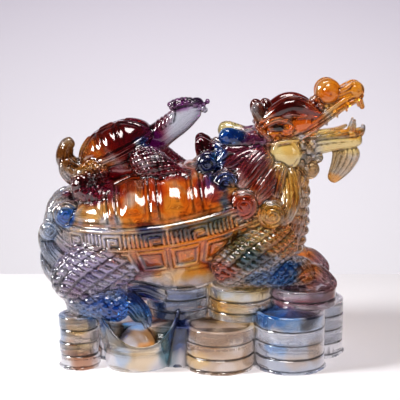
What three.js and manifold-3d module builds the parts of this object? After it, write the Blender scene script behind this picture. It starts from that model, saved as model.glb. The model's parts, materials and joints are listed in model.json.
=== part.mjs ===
// A cast glass dragon turtle with a small tortoise on its back, standing on stacks of coins and an ingot.
// It is one casting, so it is one solid. Millimetres, +Z up, the head towards +X, the origin at the middle
// of the flat underside.
import * as THREE from "three";
import { mergeVertices } from "three/addons/utils/BufferGeometryUtils.js";
import Module from "manifold-3d";

const wasm = await Module();
wasm.setup();

// Coins
const coinRadius = 21;
const coinThickness = 8.4;
const coinSides = 12;
const pawCoinRadius = 19.5;
const pawCoinThickness = 6.3;
const smallCoinRadius = 12;
const smallCoinThickness = 7.8;
const smallCoinSides = 9;
const coinGrooveDepth = 0.9;
const footFlare = 1.4; // the skin of glass that runs out round the foot of each stack
const footHeight = 1.6;

// The base under the figure
const baseLength = 171;
const baseDepth = 96;
const coreDrop = 0.5; // how far the glass between the stacks stays below the coins that lie on it
const chestDrop = 1; // how far the glass under the chest stays below the standing level

// The boat-shaped ingot under the near hind foot
const ingotLength = 50;
const ingotWidth = 36;
const ingotSideHeight = 17;
const ingotTipHeight = 37;
const ingotTurn = 12; // degrees
const ingotRimWidth = 1.8;
const ingotFloor = 12;
const ingotBowlRise = 3; // how much the hollow has risen by the foot of its wall
const ingotEggHeight = 25;
const ingotEggShare = 0.46; // of the ingot's half size

// The figure, whose pose and carving are shares of its own length
const figureLength = 192;
const designLength = 192; // the length at which the figure's own numbers are written
const designStand = 46; // the height of its standing level in those numbers
const share = figureLength / designLength;
const standLevel = 4 * coinThickness + 2 * pawCoinThickness;
const pawPlace = { x: 59, y: 19.4 }; // in the figure's own numbers

// The dragon's shell
const shellHalfLength = 65;
const shellHalfWidth = 46;
const shellBandHeight = 9.5;
const shellDomeHeight = 20;
const shellBellyDepth = 36;
const shellPitch = 8.8; // degrees, nose up
const shellSideDip = 5;
const meanderUnits = 14;
const meanderProud = 0.9;
const meanderRoot = 3; // how deep each raised square stands in the band

// The small tortoise's shell
const tortoiseHalfLength = 24.5;
const tortoiseHalfWidth = 19;
const tortoiseBandHeight = 1.6;
const tortoiseDomeHeight = 13;
const tortoiseBellyDepth = 7;
const tortoisePitch = 26; // degrees, nose up
const tortoiseSideDip = 1.5;

// The scutes on each dome: their places along its half length, the width of the slope round each one, how far
// it stands out, and how deep the field's edge lies in the shell
const scuteReach = 0.93; // share of the half size that the field covers
const scuteSideReach = 0.62; // share of the half width at which the side rows lie
const dragonScutes = {
  middle: [-0.8, -0.44, -0.06, 0.32, 0.7],
  side: [-0.63, -0.25, 0.13, 0.51],
  gap: 1.6,
  lift: 1.5,
  root: 3,
};
const tortoiseScutes = { middle: [-0.66, 0, 0.66], side: [-0.5, 0, 0.5], gap: 0.9, lift: 0.8, root: 1.2 };

// A point of the figure, from its own numbers
function at(x, y, z) {
  return new THREE.Vector3(x * share, y * share, standLevel + (z - designStand) * share);
}

// A three.js geometry as a solid
function solidOf(geometry) {
  const bare = geometry.clone();
  bare.deleteAttribute("normal");
  bare.deleteAttribute("uv");
  const merged = mergeVertices(bare, 1e-4);
  return new wasm.Manifold(
    new wasm.Mesh({
      numProp: 3,
      vertProperties: new Float32Array(merged.attributes.position.array),
      triVerts: new Uint32Array(merged.index.array),
    }),
  );
}

// Moves every vertex of a geometry by a function of its own place
function reshape(geometry, move) {
  const position = geometry.attributes.position;
  const point = new THREE.Vector3();
  for (let i = 0; i < position.count; i += 1) {
    point.fromBufferAttribute(position, i);
    move(point);
    position.setXYZ(i, point.x, point.y, point.z);
  }
  return geometry;
}

// The value at share t of a list of evenly spaced values
function between(values, t) {
  const place = t * (values.length - 1);
  const low = Math.min(Math.floor(place), values.length - 2);
  return THREE.MathUtils.lerp(values[low], values[low + 1], place - low);
}

const sideways = new THREE.Vector3(0, 1, 0);

// A closed limb of oval section along a path, made by drawing a sphere out along it. widths are half widths
// across, heights are half heights, and blunt says how square its ends are.
function drawnOut(path, widths, heights, { sides = 6, rings = 5, blunt = 6 } = {}) {
  return solidOf(
    reshape(new THREE.SphereGeometry(1, sides, rings), (point) => {
      const t = THREE.MathUtils.clamp((1 - point.y) / 2, 0, 1);
      const tangent = path.getTangent(t);
      const across = sideways.clone().addScaledVector(tangent, -tangent.y).normalize();
      const upward = tangent.clone().cross(across);
      const round = Math.sqrt(Math.max(0, 1 - Math.abs(2 * t - 1) ** blunt));
      const reach = Math.hypot(point.x, point.z) || 1;
      const w = (between(widths, t) * round * point.x) / reach;
      const h = (between(heights, t) * round * point.z) / reach;
      point.copy(path.getPoint(t)).addScaledVector(across, w).addScaledVector(upward, h);
    }),
  );
}

// A limb of the figure through stations of [x, y, z, half width, half height]
function limb(stations, options) {
  const path = new THREE.CatmullRomCurve3(stations.map(([x, y, z]) => at(x, y, z)));
  const widths = stations.map((station) => station[3] * share);
  const heights = stations.map((station) => station[4] * share);
  return drawnOut(path, widths, heights, options);
}

// The same limb on the near side and the far side
function pair(stations, options) {
  return [-1, 1].map((side) => limb(stations.map(([x, y, ...rest]) => [x, y * side, ...rest]), options));
}

// An egg of glass with its own half sizes
function egg([x, y, z], [a, b, c], sides = 7, rings = 4) {
  const centre = at(x, y, z);
  return solidOf(
    reshape(new THREE.SphereGeometry(share, sides, rings), (point) => {
      point.set(centre.x + point.x * a, centre.y - point.z * b, centre.z + point.y * c);
    }),
  );
}

const eggs = ([x, y, z], ...rest) => [-1, 1].map((side) => egg([x, y * side, z], ...rest));

// A lock on both sides that runs through its stations and then winds into a curl. start is the angle in
// degrees at which it meets the curl, and turns is negative to wind the other way.
function curledLocks(stations, [x, y, z], radius, start, turns = 0.86) {
  const steps = 5;
  const wound = [];
  for (let i = 0; i <= steps; i += 1) {
    const t = i / steps;
    const angle = THREE.MathUtils.degToRad(start) + turns * 2 * Math.PI * t;
    const reach = radius * 0.64 * (1 - 0.7 * t);
    const thick = radius * 0.36 * (1 - 0.55 * t);
    wound.push([x + reach * Math.cos(angle), y, z + reach * Math.sin(angle), thick * 1.5, thick]);
  }
  return pair([...stations, ...wound], { sides: 5, rings: 8, blunt: 12 });
}

// A stack of coins turned in one piece. Each coin is a little wider at its top, so that the joints show
function stackOfCoins({ x, y, radius, thickness, coins, from = 0, sides = coinSides }) {
  const onTable = [[radius + footFlare, 0], [radius, footHeight]];
  const onCoins = [[radius - coinGrooveDepth, from]];
  const outline = from === 0 ? onTable : onCoins;
  for (let i = 1; i < coins; i += 1) {
    outline.push([radius, from + i * thickness], [radius - coinGrooveDepth, from + i * thickness]);
  }
  const top = from + coins * thickness;
  const profile = [[0, from], ...outline, [radius, top], [0, top]];
  const turned = new THREE.LatheGeometry(
    profile.map(([r, z]) => new THREE.Vector2(r, z)),
    sides,
  );
  return solidOf(turned.rotateX(Math.PI / 2).translate(x, y, 0));
}

const frontRow = -(baseDepth / 2 - coinRadius);
const backRow = -frontRow;
const baseEnd = baseLength / 2;
const along = (part) => part * baseEnd;
const smallEnd = { x: smallCoinRadius - baseEnd, y: baseDepth / 2 - smallCoinRadius - ingotWidth / 4 };
const pawPoint = at(pawPlace.x, pawPlace.y, designStand);
const upperThickness = (standLevel - 3 * coinThickness) / 3;
const farFootStack = ingotTipHeight - coinThickness; // the far hind foot's stack stands for the ingot there

const bigStack = { radius: coinRadius, thickness: coinThickness, coins: 4 };
const endStack = { ...bigStack, radius: pawCoinRadius, y: 0 };
const smallStack = {
  radius: smallCoinRadius,
  thickness: smallCoinThickness,
  coins: 4,
  sides: smallCoinSides,
  x: smallEnd.x,
};
const pawStack = {
  radius: pawCoinRadius,
  thickness: pawCoinThickness,
  coins: 2,
  from: 4 * coinThickness,
  x: pawPoint.x,
};
const middleStack = { radius: pawCoinRadius, thickness: upperThickness, coins: 3, from: 3 * coinThickness };

const stacks = [
  { ...smallStack, y: -smallEnd.y },
  { ...smallStack, y: smallEnd.y },
  { ...bigStack, x: along(0.105), y: frontRow, coins: 3 },
  { ...bigStack, x: along(0.59), y: frontRow },
  { ...bigStack, x: along(0.57), y: backRow },
  { ...bigStack, x: along(0.07), y: backRow, coins: 3 },
  { ...bigStack, x: along(-0.42), y: backRow, thickness: farFootStack / 4 },
  { ...endStack, x: baseEnd - pawCoinRadius },
  { ...endStack, x: along(-0.74), thickness: smallCoinThickness },
  { ...pawStack, y: -pawPoint.y },
  { ...pawStack, y: pawPoint.y },
  { ...middleStack, x: along(0.253), y: frontRow * 0.58 },
  { ...middleStack, x: along(0.253), y: backRow * 0.58 },
  { ...middleStack, x: along(-0.18), y: frontRow * 0.42 },
  { ...middleStack, x: along(-0.18), y: backRow * 0.42 },
];

// An upright oval block of glass on the table
function ovalBlock(x, halfLength, halfWidth, height, sides) {
  const block = new THREE.CylinderGeometry(1, 1, height, sides).rotateX(Math.PI / 2);
  return solidOf(block.scale(halfLength, halfWidth, 1).translate(x, 0, height / 2));
}

// The glass that joins the stacks below the figure
function core() {
  return [
    ovalBlock(0, along(0.86), baseDepth * 0.37, 3 * coinThickness - coreDrop, 14),
    ovalBlock(along(0.1), along(0.5), baseDepth * 0.22, standLevel - chestDrop, 10),
    ovalBlock(smallEnd.x, smallCoinRadius * 0.7, smallEnd.y, 3 * smallCoinThickness - coreDrop, 8),
  ];
}

// The ingot is a bowl drawn up into two tips, with an egg in its hollow
function ingot() {
  const rimRise = ingotTipHeight - ingotSideHeight;
  const rimAt = (angle) => ingotSideHeight + rimRise * Math.abs(Math.cos(angle)) ** 2.4;
  const eggRise = ingotEggHeight - ingotFloor;
  const eggAt = (r) => ingotFloor + eggRise * Math.sqrt(1 - (r / ingotEggShare) ** 2);
  // Each point is [share of the half size, share of the rim's height, height above that]
  const profile = [
    [0, 0, 0],
    [0.72, 0, 0],
    [0.88, 0.5, 0],
    [1, 1, 0],
    [1 - (2 * ingotRimWidth) / ingotLength, 1, 0],
    [0.72, 0, ingotFloor + ingotBowlRise],
    ...[1, 0.85, 0.5, 0].map((part) => [part * ingotEggShare, 0, eggAt(part * ingotEggShare)]),
  ];
  const turned = new THREE.LatheGeometry(
    profile.map(([r], i) => new THREE.Vector2(r, i)),
    20,
  ).rotateX(Math.PI / 2);
  const bowl = reshape(turned, (point) => {
    const angle = Math.atan2(point.y, point.x);
    const [, rimShare, plain] = profile[Math.round(point.z)];
    const height = rimShare * rimAt(angle) + plain;
    point.set((point.x * ingotLength) / 2, (point.y * ingotWidth) / 2, height);
  });
  bowl.rotateZ(THREE.MathUtils.degToRad(ingotTurn));
  return solidOf(bowl.translate(along(-0.45), -(baseDepth - ingotWidth) / 2, 0));
}

// A turtle's shell: a turned profile, made oval, dipped at its sides and tilted, with a field of scutes for
// its dome. It gives both solids and a function that settles any point of its own frame into place.
function turtleShell({ halfLength, halfWidth, band, dome, belly, pitch, dip, centre, sides, ridge, scutes }) {
  const domeFoot = band + 2.6 * ridge;
  const domeAt = (r) => domeFoot + dome * (1 - Math.min(r, 1) ** 2.3) ** 0.62;
  // Each point is [share of the half size, height above the rim's lower edge]
  const profile = [
    [0, -belly],
    [0.6, -belly],
    [0.95, -1.2 * ridge],
    [1.035, -0.4 * ridge],
    [1.0, band - 0.8 * ridge],
    [1.02, band + 0.7 * ridge],
    [0.975, domeFoot],
    [scuteReach, domeAt(scuteReach)],
    [0, domeAt(scuteReach)],
  ];
  const tilt = new THREE.Matrix4().makeRotationY(-THREE.MathUtils.degToRad(pitch));
  const settle = (point) => {
    const r = Math.hypot(point.x / halfLength, point.y / halfWidth);
    point.z -= dip * r ** 2 * (point.y / halfWidth) ** 2;
    return point.multiplyScalar(share).applyMatrix4(tilt).add(centre);
  };
  const turned = new THREE.LatheGeometry(
    profile.map(([r, z]) => new THREE.Vector2(r, z)),
    sides,
  ).rotateX(Math.PI / 2);
  const body = reshape(turned, (point) => {
    settle(point.set(point.x * halfLength, point.y * halfWidth, point.z));
  });
  const onDome = (p, lift) => {
    const r = Math.hypot(p.x / halfLength, p.y / halfWidth);
    return settle(new THREE.Vector3(p.x, p.y, domeAt(r) + lift));
  };
  const field = scuteField(scuteOutlines(halfLength, halfWidth, scutes), onDome, { dome, ...scutes });
  return { solids: [solidOf(body), field], settle };
}

// The part of a convex polygon that lies nearer to one centre than to another
function nearerTo(polygon, centre, other) {
  const middle = centre.clone().add(other).multiplyScalar(0.5);
  const towards = other.clone().sub(centre);
  const past = (p) => p.clone().sub(middle).dot(towards);
  const kept = [];
  polygon.forEach((p, i) => {
    const q = polygon[(i + 1) % polygon.length];
    const [a, b] = [past(p), past(q)];
    if (a <= 0) kept.push(p);
    if (a * b < 0) kept.push(p.clone().lerp(q, a / (a - b)));
  });
  return kept;
}

// The outlines of a shell's scutes, seen from above: a middle row and a row on each side
function scuteOutlines(halfLength, halfWidth, { middle, side }) {
  const middleRow = middle.map((x) => [x, 0]);
  const sideRows = side.flatMap((x) => [[x, -scuteSideReach], [x, scuteSideReach]]);
  const centres = [...middleRow, ...sideRows].map(
    ([x, y]) => new THREE.Vector2(x * halfLength, y * halfWidth),
  );
  const edge = new THREE.EllipseCurve(0, 0, halfLength * scuteReach, halfWidth * scuteReach)
    .getPoints(16)
    .slice(0, -1);
  return centres.map((centre) => {
    const others = centres.filter((other) => other !== centre);
    return others.reduce((left, other) => nearerTo(left, centre, other), edge);
  });
}

// The scutes of a dome as one closed solid. Each scute rises from the groove round it to a raised middle, and
// the field's edge and underside lie inside the shell.
function scuteField(outlines, onDome, { dome, gap, lift, root }) {
  const corners = [];
  const cornerAt = (p) => {
    const known = corners.findIndex((corner) => corner.distanceTo(p) < 3 * gap);
    return known < 0 ? corners.push(p) - 1 : known;
  };
  const cells = outlines.map((outline) => {
    const ring = outline.map(cornerAt);
    return ring.filter((corner, i) => corner !== ring[(i + 1) % ring.length]);
  });
  const edges = cells.flatMap((ring) => ring.map((a, i) => [a, ring[(i + 1) % ring.length]]));
  const outer = edges.filter(([a, b]) => !edges.some(([c, d]) => c === b && d === a));
  const onRim = new Set(outer.flat());
  const points = corners.map((p, i) => onDome(p, onRim.has(i) ? -root : 0));
  const faces = [];
  cells.forEach((ring) => {
    const own = ring.map((i) => corners[i]);
    const middle = own.reduce((sum, p) => sum.add(p), new THREE.Vector2()).divideScalar(own.length);
    const first = points.length;
    own.forEach((p) => {
      const away = p.clone().sub(middle);
      points.push(onDome(middle.clone().addScaledVector(away, 1 - gap / away.length()), lift));
    });
    const top = points.push(onDome(middle, lift * 1.5)) - 1;
    ring.forEach((a, i) => {
      const j = (i + 1) % ring.length;
      faces.push(a, ring[j], first + j, a, first + j, first + i, first + i, first + j, top);
    });
  });
  const foot = points.push(onDome(new THREE.Vector2(), -dome)) - 1;
  outer.forEach(([a, b]) => faces.push(b, a, foot));
  const geometry = new THREE.BufferGeometry().setFromPoints(points);
  geometry.setIndex(faces);
  return solidOf(geometry);
}

// The meander on the shell's band, one raised square for each turn of the key
function meander(settle) {
  const line = new THREE.EllipseCurve(0, 0, shellHalfLength * 1.018, shellHalfWidth * 1.018);
  const width = (line.getLength() / meanderUnits) * 0.5;
  const blocks = [];
  for (let i = 0; i < meanderUnits; i += 1) {
    const middle = line.getPointAt(i / meanderUnits);
    const run = line.getTangentAt(i / meanderUnits);
    const turn = new THREE.Matrix4().makeBasis(
      new THREE.Vector3(run.x, run.y, 0),
      new THREE.Vector3(0, 0, 1),
      new THREE.Vector3(run.y, -run.x, 0),
    );
    const box = new THREE.BoxGeometry(width, shellBandHeight * 0.72, meanderProud + meanderRoot);
    box.translate(0, 0, (meanderProud - meanderRoot) / 2);
    box.applyMatrix4(turn).translate(middle.x, middle.y, shellBandHeight / 2);
    blocks.push(solidOf(reshape(box, settle)));
  }
  return blocks;
}

function dragonShell() {
  const shell = turtleShell({
    halfLength: shellHalfLength,
    halfWidth: shellHalfWidth,
    band: shellBandHeight,
    dome: shellDomeHeight,
    belly: shellBellyDepth,
    pitch: shellPitch,
    dip: shellSideDip,
    centre: at(-22, 0, 81.5),
    sides: 22,
    ridge: 1,
    scutes: dragonScutes,
  });
  return [...shell.solids, ...meander(shell.settle)];
}

function tortoiseShell() {
  return turtleShell({
    halfLength: tortoiseHalfLength,
    halfWidth: tortoiseHalfWidth,
    band: tortoiseBandHeight,
    dome: tortoiseDomeHeight,
    belly: tortoiseBellyDepth,
    pitch: tortoisePitch,
    dip: tortoiseSideDip,
    centre: at(-51, 0, 123.5),
    sides: 14,
    ridge: 0.5,
    scutes: tortoiseScutes,
  }).solids;
}

// A paw's toes on both sides, fanned out from its middle, each ending in a claw
function toes([x, y, z], length, spread, drop, radius) {
  return [-1.2, 0, 1.2].flatMap((place) => {
    const turn = THREE.MathUtils.degToRad(place * spread);
    const reach = (part) => [x + length * part * Math.cos(turn), y + length * part * Math.sin(turn)];
    return pair(
      [
        [...reach(0), z, radius, radius],
        [...reach(0.6), z + radius * 0.3, radius * 1.05, radius],
        [...reach(1), z - drop, radius * 0.6, radius * 0.6],
      ],
      { sides: 5, rings: 3 },
    );
  });
}

function frontLegs() {
  const arms = pair(
    [
      [46, 20, 84, 10, 13],
      [30, 28, 73, 11, 13],
      [12, 29, 62, 10, 11],
      [8, 27, 56, 7, 8],
    ],
    { sides: 8, rings: 6, blunt: 5 },
  );
  const forearms = pair(
    [
      [8, 26, 57, 8, 9],
      [24, 26, 57, 9, 10.5],
      [40, 23, 55, 8.5, 9],
      [56, pawPlace.y, 54.5, 10, 8.5],
      [72, pawPlace.y, 50, 9, 5],
    ],
    { sides: 8, rings: 7, blunt: 5 },
  );
  return [...arms, ...forearms, ...toes([61, pawPlace.y, 54], 16.5, 24, 5, 4.2)];
}

function hindLegs() {
  const thighs = pair(
    [
      [-40, 22, 68, 11, 12],
      [-56, 29, 62, 13, 15],
      [-73, 29, 52, 12.5, 15.5],
      [-82, 28, 41, 9, 11],
    ],
    { sides: 8, rings: 7, blunt: 4 },
  );
  const shanks = pair(
    [
      [-80, 29, 40, 9, 10],
      [-66, 34, 41, 9, 8],
      [-50, 34, 38, 9, 7.5],
      [-40, 33, 34, 9, 6],
    ],
    { sides: 7 },
  );
  return [...thighs, ...shanks, ...toes([-50, 33, 35], 21, 19, 6, 4.6)];
}

function neckAndHead() {
  const neck = limb(
    [
      [10, 0, 62, 27, 26],
      [32, 0, 76, 26, 27],
      [41, 0, 95, 22, 23],
      [42, 0, 112, 17, 19],
      [38, 0, 130, 12, 12],
    ],
    { sides: 9, rings: 7, blunt: 8 },
  );
  const skull = limb(
    [
      [28, 0, 132, 10, 9],
      [42, 0, 134, 15, 13],
      [55, 0, 139, 14, 12],
      [68, 0, 147, 9, 7],
    ],
    { sides: 7, blunt: 4 },
  );
  const snout = limb(
    [
      [50, 0, 136, 12, 7],
      [66, 0, 144, 10.5, 7],
      [78, 0, 153, 8.5, 6.5],
      [88, 0, 157.5, 8, 6],
      [92, 0, 158, 6, 5],
    ],
    { sides: 7, rings: 6 },
  );
  const jaw = limb(
    [
      [42, 0, 121, 13, 8],
      [60, 0, 125, 10.5, 7],
      [78, 0, 128.5, 8, 5.5],
      [91, 0, 130, 6.5, 4.5],
      [96, 0, 136, 3, 1.5],
    ],
    { sides: 7, rings: 6, blunt: 8 },
  );
  const beard = limb([
    [84, 0, 126, 6, 6],
    [83, 0, 117, 5, 5.5],
    [79, 0, 110, 3, 3.5],
    [75, 0, 105, 1, 1],
  ]);
  const brows = pair([
    [33, 10, 141, 4, 5],
    [47, 12, 147.5, 4.5, 5],
    [57, 11, 152, 4.5, 5],
    [66, 8, 146, 2, 2],
  ]);
  const horns = pair([
    [34, 10, 133, 6, 6.5],
    [22, 13.5, 131, 5.5, 6],
    [9, 17, 138, 4, 4.5],
  ]);
  const fang = { sides: 4, rings: 3, blunt: 2 };
  const upperFangs = pair([[90.5, 5, 156, 2.4, 2.4], [92, 5.2, 149.5, 0.5, 0.5]], fang);
  const lowerFangs = pair([[87, 4.8, 131, 2.2, 2.2], [88, 4.8, 140, 0.4, 0.4]], fang);
  const nose = [egg([88, 0, 159.5], [6, 7.5, 5]), ...eggs([72.5, 4.5, 160], [7, 5.5, 7])];
  const eyes = eggs([43.5, 14.2, 137.5], [5.6, 2.6, 3.2], 5);
  const cheeks = eggs([47.5, 13, 124.5], [8.6, 6.5, 9.4], 6);
  return [
    ...[neck, skull, snout, jaw, beard],
    ...[brows, horns, upperFangs, lowerFangs, nose, eyes, cheeks].flat(),
  ];
}

function mane() {
  const ridge = limb(
    [
      [36, 0, 132, 9, 9],
      [20, 0, 122, 9, 10],
      [5, 0, 120, 8, 9],
      [-1, 0, 128, 5, 4],
      [2, 0, 132, 1.5, 1.5],
    ],
    { sides: 7, rings: 6 },
  );
  return [
    ridge,
    ...curledLocks([[38, 10, 128, 6, 6], [24, 13, 125, 5.5, 6], [12, 14, 121, 4, 4]], [1.5, 14, 117], 7, 40),
    ...curledLocks([[42, 13, 121, 6, 6], [31, 17, 118, 6, 6.5], [22, 19, 114, 4, 5]], [12.5, 18, 110], 8, 50),
    ...curledLocks([[44, 15, 116, 5, 6], [37, 19, 109, 6, 7], [31, 21, 101, 5, 5]], [23, 22, 96], 8, 40),
    ...curledLocks([[54, 12, 114, 4, 5], [53, 16, 104, 5, 6], [46, 21, 94, 5, 5]], [36.5, 23, 89], 7.5, 20),
  ];
}

function tail() {
  const middle = limb(
    [
      [-62, 0, 52, 14, 12],
      [-80, 0, 60, 13, 12],
      [-91, 0, 74, 10, 8],
      [-88, 0, 89, 8, 7],
      [-79, 0, 99, 4, 3.5],
    ],
    { sides: 8, rings: 8 },
  );
  return [
    middle,
    ...curledLocks([[-74, 9, 62, 5, 5], [-84, 10, 70, 4, 4]], [-80.5, 9, 86], 7.4, 200, -0.86),
    ...curledLocks([[-80, 8, 52, 5, 5], [-91, 8, 62, 4, 4]], [-90, 7, 75], 6.4, 200, -0.86),
  ];
}

function tortoise() {
  const neck = limb(
    [
      [-36, 0, 127, 9, 9],
      [-22, 0, 136, 7, 8.5],
      [-12, 0, 145, 5.8, 7.5],
      [-5, 0, 149.5, 5.2, 6.2],
      [0, 0, 151, 4, 4.6],
    ],
    { sides: 7, rings: 6, blunt: 5 },
  );
  const crest = limb([[-21, 0, 150, 2.6, 2.6], [-14, 0, 152.5, 4, 3], [-3, 0, 155, 3, 2.2]], {
    sides: 5,
    rings: 4,
  });
  const belly = egg([-46, 0, 114], [22, 14, 9]);
  const hindLimbs = pair([
    [-58, 12, 116, 6, 7],
    [-68, 18, 109, 7, 8],
    [-68, 21, 101, 6, 6],
    [-56, 22, 100, 5.5, 4.5],
    [-48, 22, 101, 4, 2.6],
  ]);
  const foreLimbs = pair([
    [-40, 11, 124, 6, 6],
    [-28, 16, 120, 5.5, 6],
    [-17, 18.5, 113.5, 5, 4],
    [-8, 18.5, 110.5, 4.5, 2.4],
  ]);
  const tuft = limb(
    [
      [-66, 0, 112, 5, 5],
      [-78, 0, 114, 5, 5],
      [-82, 0, 122, 4.5, 4],
      [-77, 0, 129, 2.5, 2.5],
    ],
    { sides: 5 },
  );
  return [...tortoiseShell(), neck, crest, belly, ...hindLimbs, ...foreLimbs, tuft];
}

const solids = [
  ...stacks.map((stack) => stackOfCoins(stack)),
  ...core(),
  ingot(),
  ...dragonShell(),
  ...frontLegs(),
  ...hindLegs(),
  ...neckAndHead(),
  ...mane(),
  ...tail(),
  ...tortoise(),
];
const joined = solids.reduce((whole, solid) => whole.add(solid));
// Cast glass has no sealed hollows, so the skins of any bubbles left between the pieces are taken away
const casting = joined
  .decompose()
  .filter((skin) => skin.volume() > 0)
  .reduce((whole, solid) => whole.add(solid));

// The finished solid as a three.js geometry
function geometryOf(solid) {
  const mesh = solid.getMesh();
  const geometry = new THREE.BufferGeometry();
  geometry.setAttribute("position", new THREE.BufferAttribute(new Float32Array(mesh.vertProperties), 3));
  geometry.setIndex(new THREE.BufferAttribute(new Uint32Array(mesh.triVerts), 1));
  geometry.computeVertexNormals();
  return geometry;
}

const amberGlass = new THREE.MeshStandardMaterial({ color: 0xd9822b, roughness: 0.08, metalness: 0 });
const dragonTurtle = new THREE.Mesh(geometryOf(casting), amberGlass);
dragonTurtle.name = "dragon_turtle";

const part = new THREE.Group();
part.add(dragonTurtle);
export default part;
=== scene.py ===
import json
import math

import bpy
import numpy as np
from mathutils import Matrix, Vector

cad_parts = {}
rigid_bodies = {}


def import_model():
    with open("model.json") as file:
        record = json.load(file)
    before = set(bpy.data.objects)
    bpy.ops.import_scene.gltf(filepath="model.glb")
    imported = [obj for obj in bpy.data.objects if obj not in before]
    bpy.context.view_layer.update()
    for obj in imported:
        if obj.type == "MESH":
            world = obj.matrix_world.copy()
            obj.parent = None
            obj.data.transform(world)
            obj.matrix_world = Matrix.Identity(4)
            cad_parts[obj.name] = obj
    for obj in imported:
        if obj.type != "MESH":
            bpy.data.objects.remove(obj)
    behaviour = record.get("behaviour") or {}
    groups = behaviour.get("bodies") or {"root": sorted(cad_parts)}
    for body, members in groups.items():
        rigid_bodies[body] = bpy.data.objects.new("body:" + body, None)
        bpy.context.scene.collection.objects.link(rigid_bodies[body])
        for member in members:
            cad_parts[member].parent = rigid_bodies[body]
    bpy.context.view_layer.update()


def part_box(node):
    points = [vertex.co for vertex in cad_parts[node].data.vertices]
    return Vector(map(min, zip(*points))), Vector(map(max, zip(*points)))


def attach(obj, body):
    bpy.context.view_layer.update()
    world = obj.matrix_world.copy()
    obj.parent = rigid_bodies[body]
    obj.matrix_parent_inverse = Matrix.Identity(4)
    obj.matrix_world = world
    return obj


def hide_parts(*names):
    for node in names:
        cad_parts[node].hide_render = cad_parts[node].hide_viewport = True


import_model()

# Dragon turtle in cast glass. Every form is a closed skin in millimetres, and at the end they are all melted
# into one skin, because the real figure is one casting.
boxLow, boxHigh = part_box("dragon_turtle")
designLength = 195.1  # length the numbers below are written for
mm = (boxHigh[0] - boxLow[0]) / designLength
solids = []


def blend(low, high, x):
    t = np.clip((x - low) / (high - low), 0, 1)
    return t * t * (3 - 2 * t)


def wobble(p, size, seed=0.0):
    # slow unevenness between -1 and 1
    x, y, z = p[..., 0] / size, p[..., 1] / size, p[..., 2] / size
    a = np.sin(1.7 * x + 2.3 * np.sin(1.1 * y + seed) + z)
    b = np.sin(1.9 * y + 2.1 * np.sin(1.3 * z + 1.7 * seed) - x)
    c = np.sin(2.1 * z + 1.9 * np.sin(1.2 * x + 2.3 * seed) + y)
    return (a + b + c) / 3


def keep(points, quads, caps, both=False):
    tris = np.vstack([quads[:, [0, 1, 2]], quads[:, [0, 2, 3]], caps])
    a, b, c = points[tris[:, 0]], points[tris[:, 1]], points[tris[:, 2]]
    if np.einsum("ij,ij->", a, np.cross(b, c)) < 0:
        quads, caps = quads[:, ::-1], caps[:, ::-1]
    solids.append((points, quads, caps))
    if both:
        solids.append((points * [1, -1, 1], quads[:, ::-1], caps[:, ::-1]))


def skin(rings, first, last, both=False):
    # rings of points, closed by one point at each end
    count, around = rings.shape[:2]
    points = np.vstack([rings.reshape(-1, 3), first, last])
    row = np.arange(count - 1)[:, None] * around
    j = np.arange(around)[None, :]
    k = (j + 1) % around
    quads = np.stack([row + j, row + k, row + around + k, row + around + j], -1).reshape(-1, 4)
    j, k = j[0], k[0]
    end = (count - 1) * around
    capA = np.stack([k, j, np.full(around, count * around)], 1)
    capB = np.stack([end + j, end + k, np.full(around, count * around + 1)], 1)
    keep(points, quads, np.vstack([capA, capB]), both)


def pathThrough(stations):
    # a smooth line through the stations and the distance run along it
    p = np.array(stations, float)
    wide = np.vstack([2 * p[0] - p[1], p, 2 * p[-1] - p[-2]])
    t = np.linspace(0, 1, 24, endpoint=False)[:, None]
    pieces = []
    for a, b, c, d in zip(wide, wide[1:], wide[2:], wide[3:]):
        pieces.append(
            0.5 * (2 * b + (c - a) * t + (2 * a - 5 * b + 4 * c - d) * t**2 + (3 * b - a - 3 * c + d) * t**3)
        )
    line = np.vstack([*pieces, p[-1:]])
    run = np.concatenate([[0], np.cumsum(np.linalg.norm(np.diff(line[:, :3], axis=0), axis=1))])
    return line, run


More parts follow.
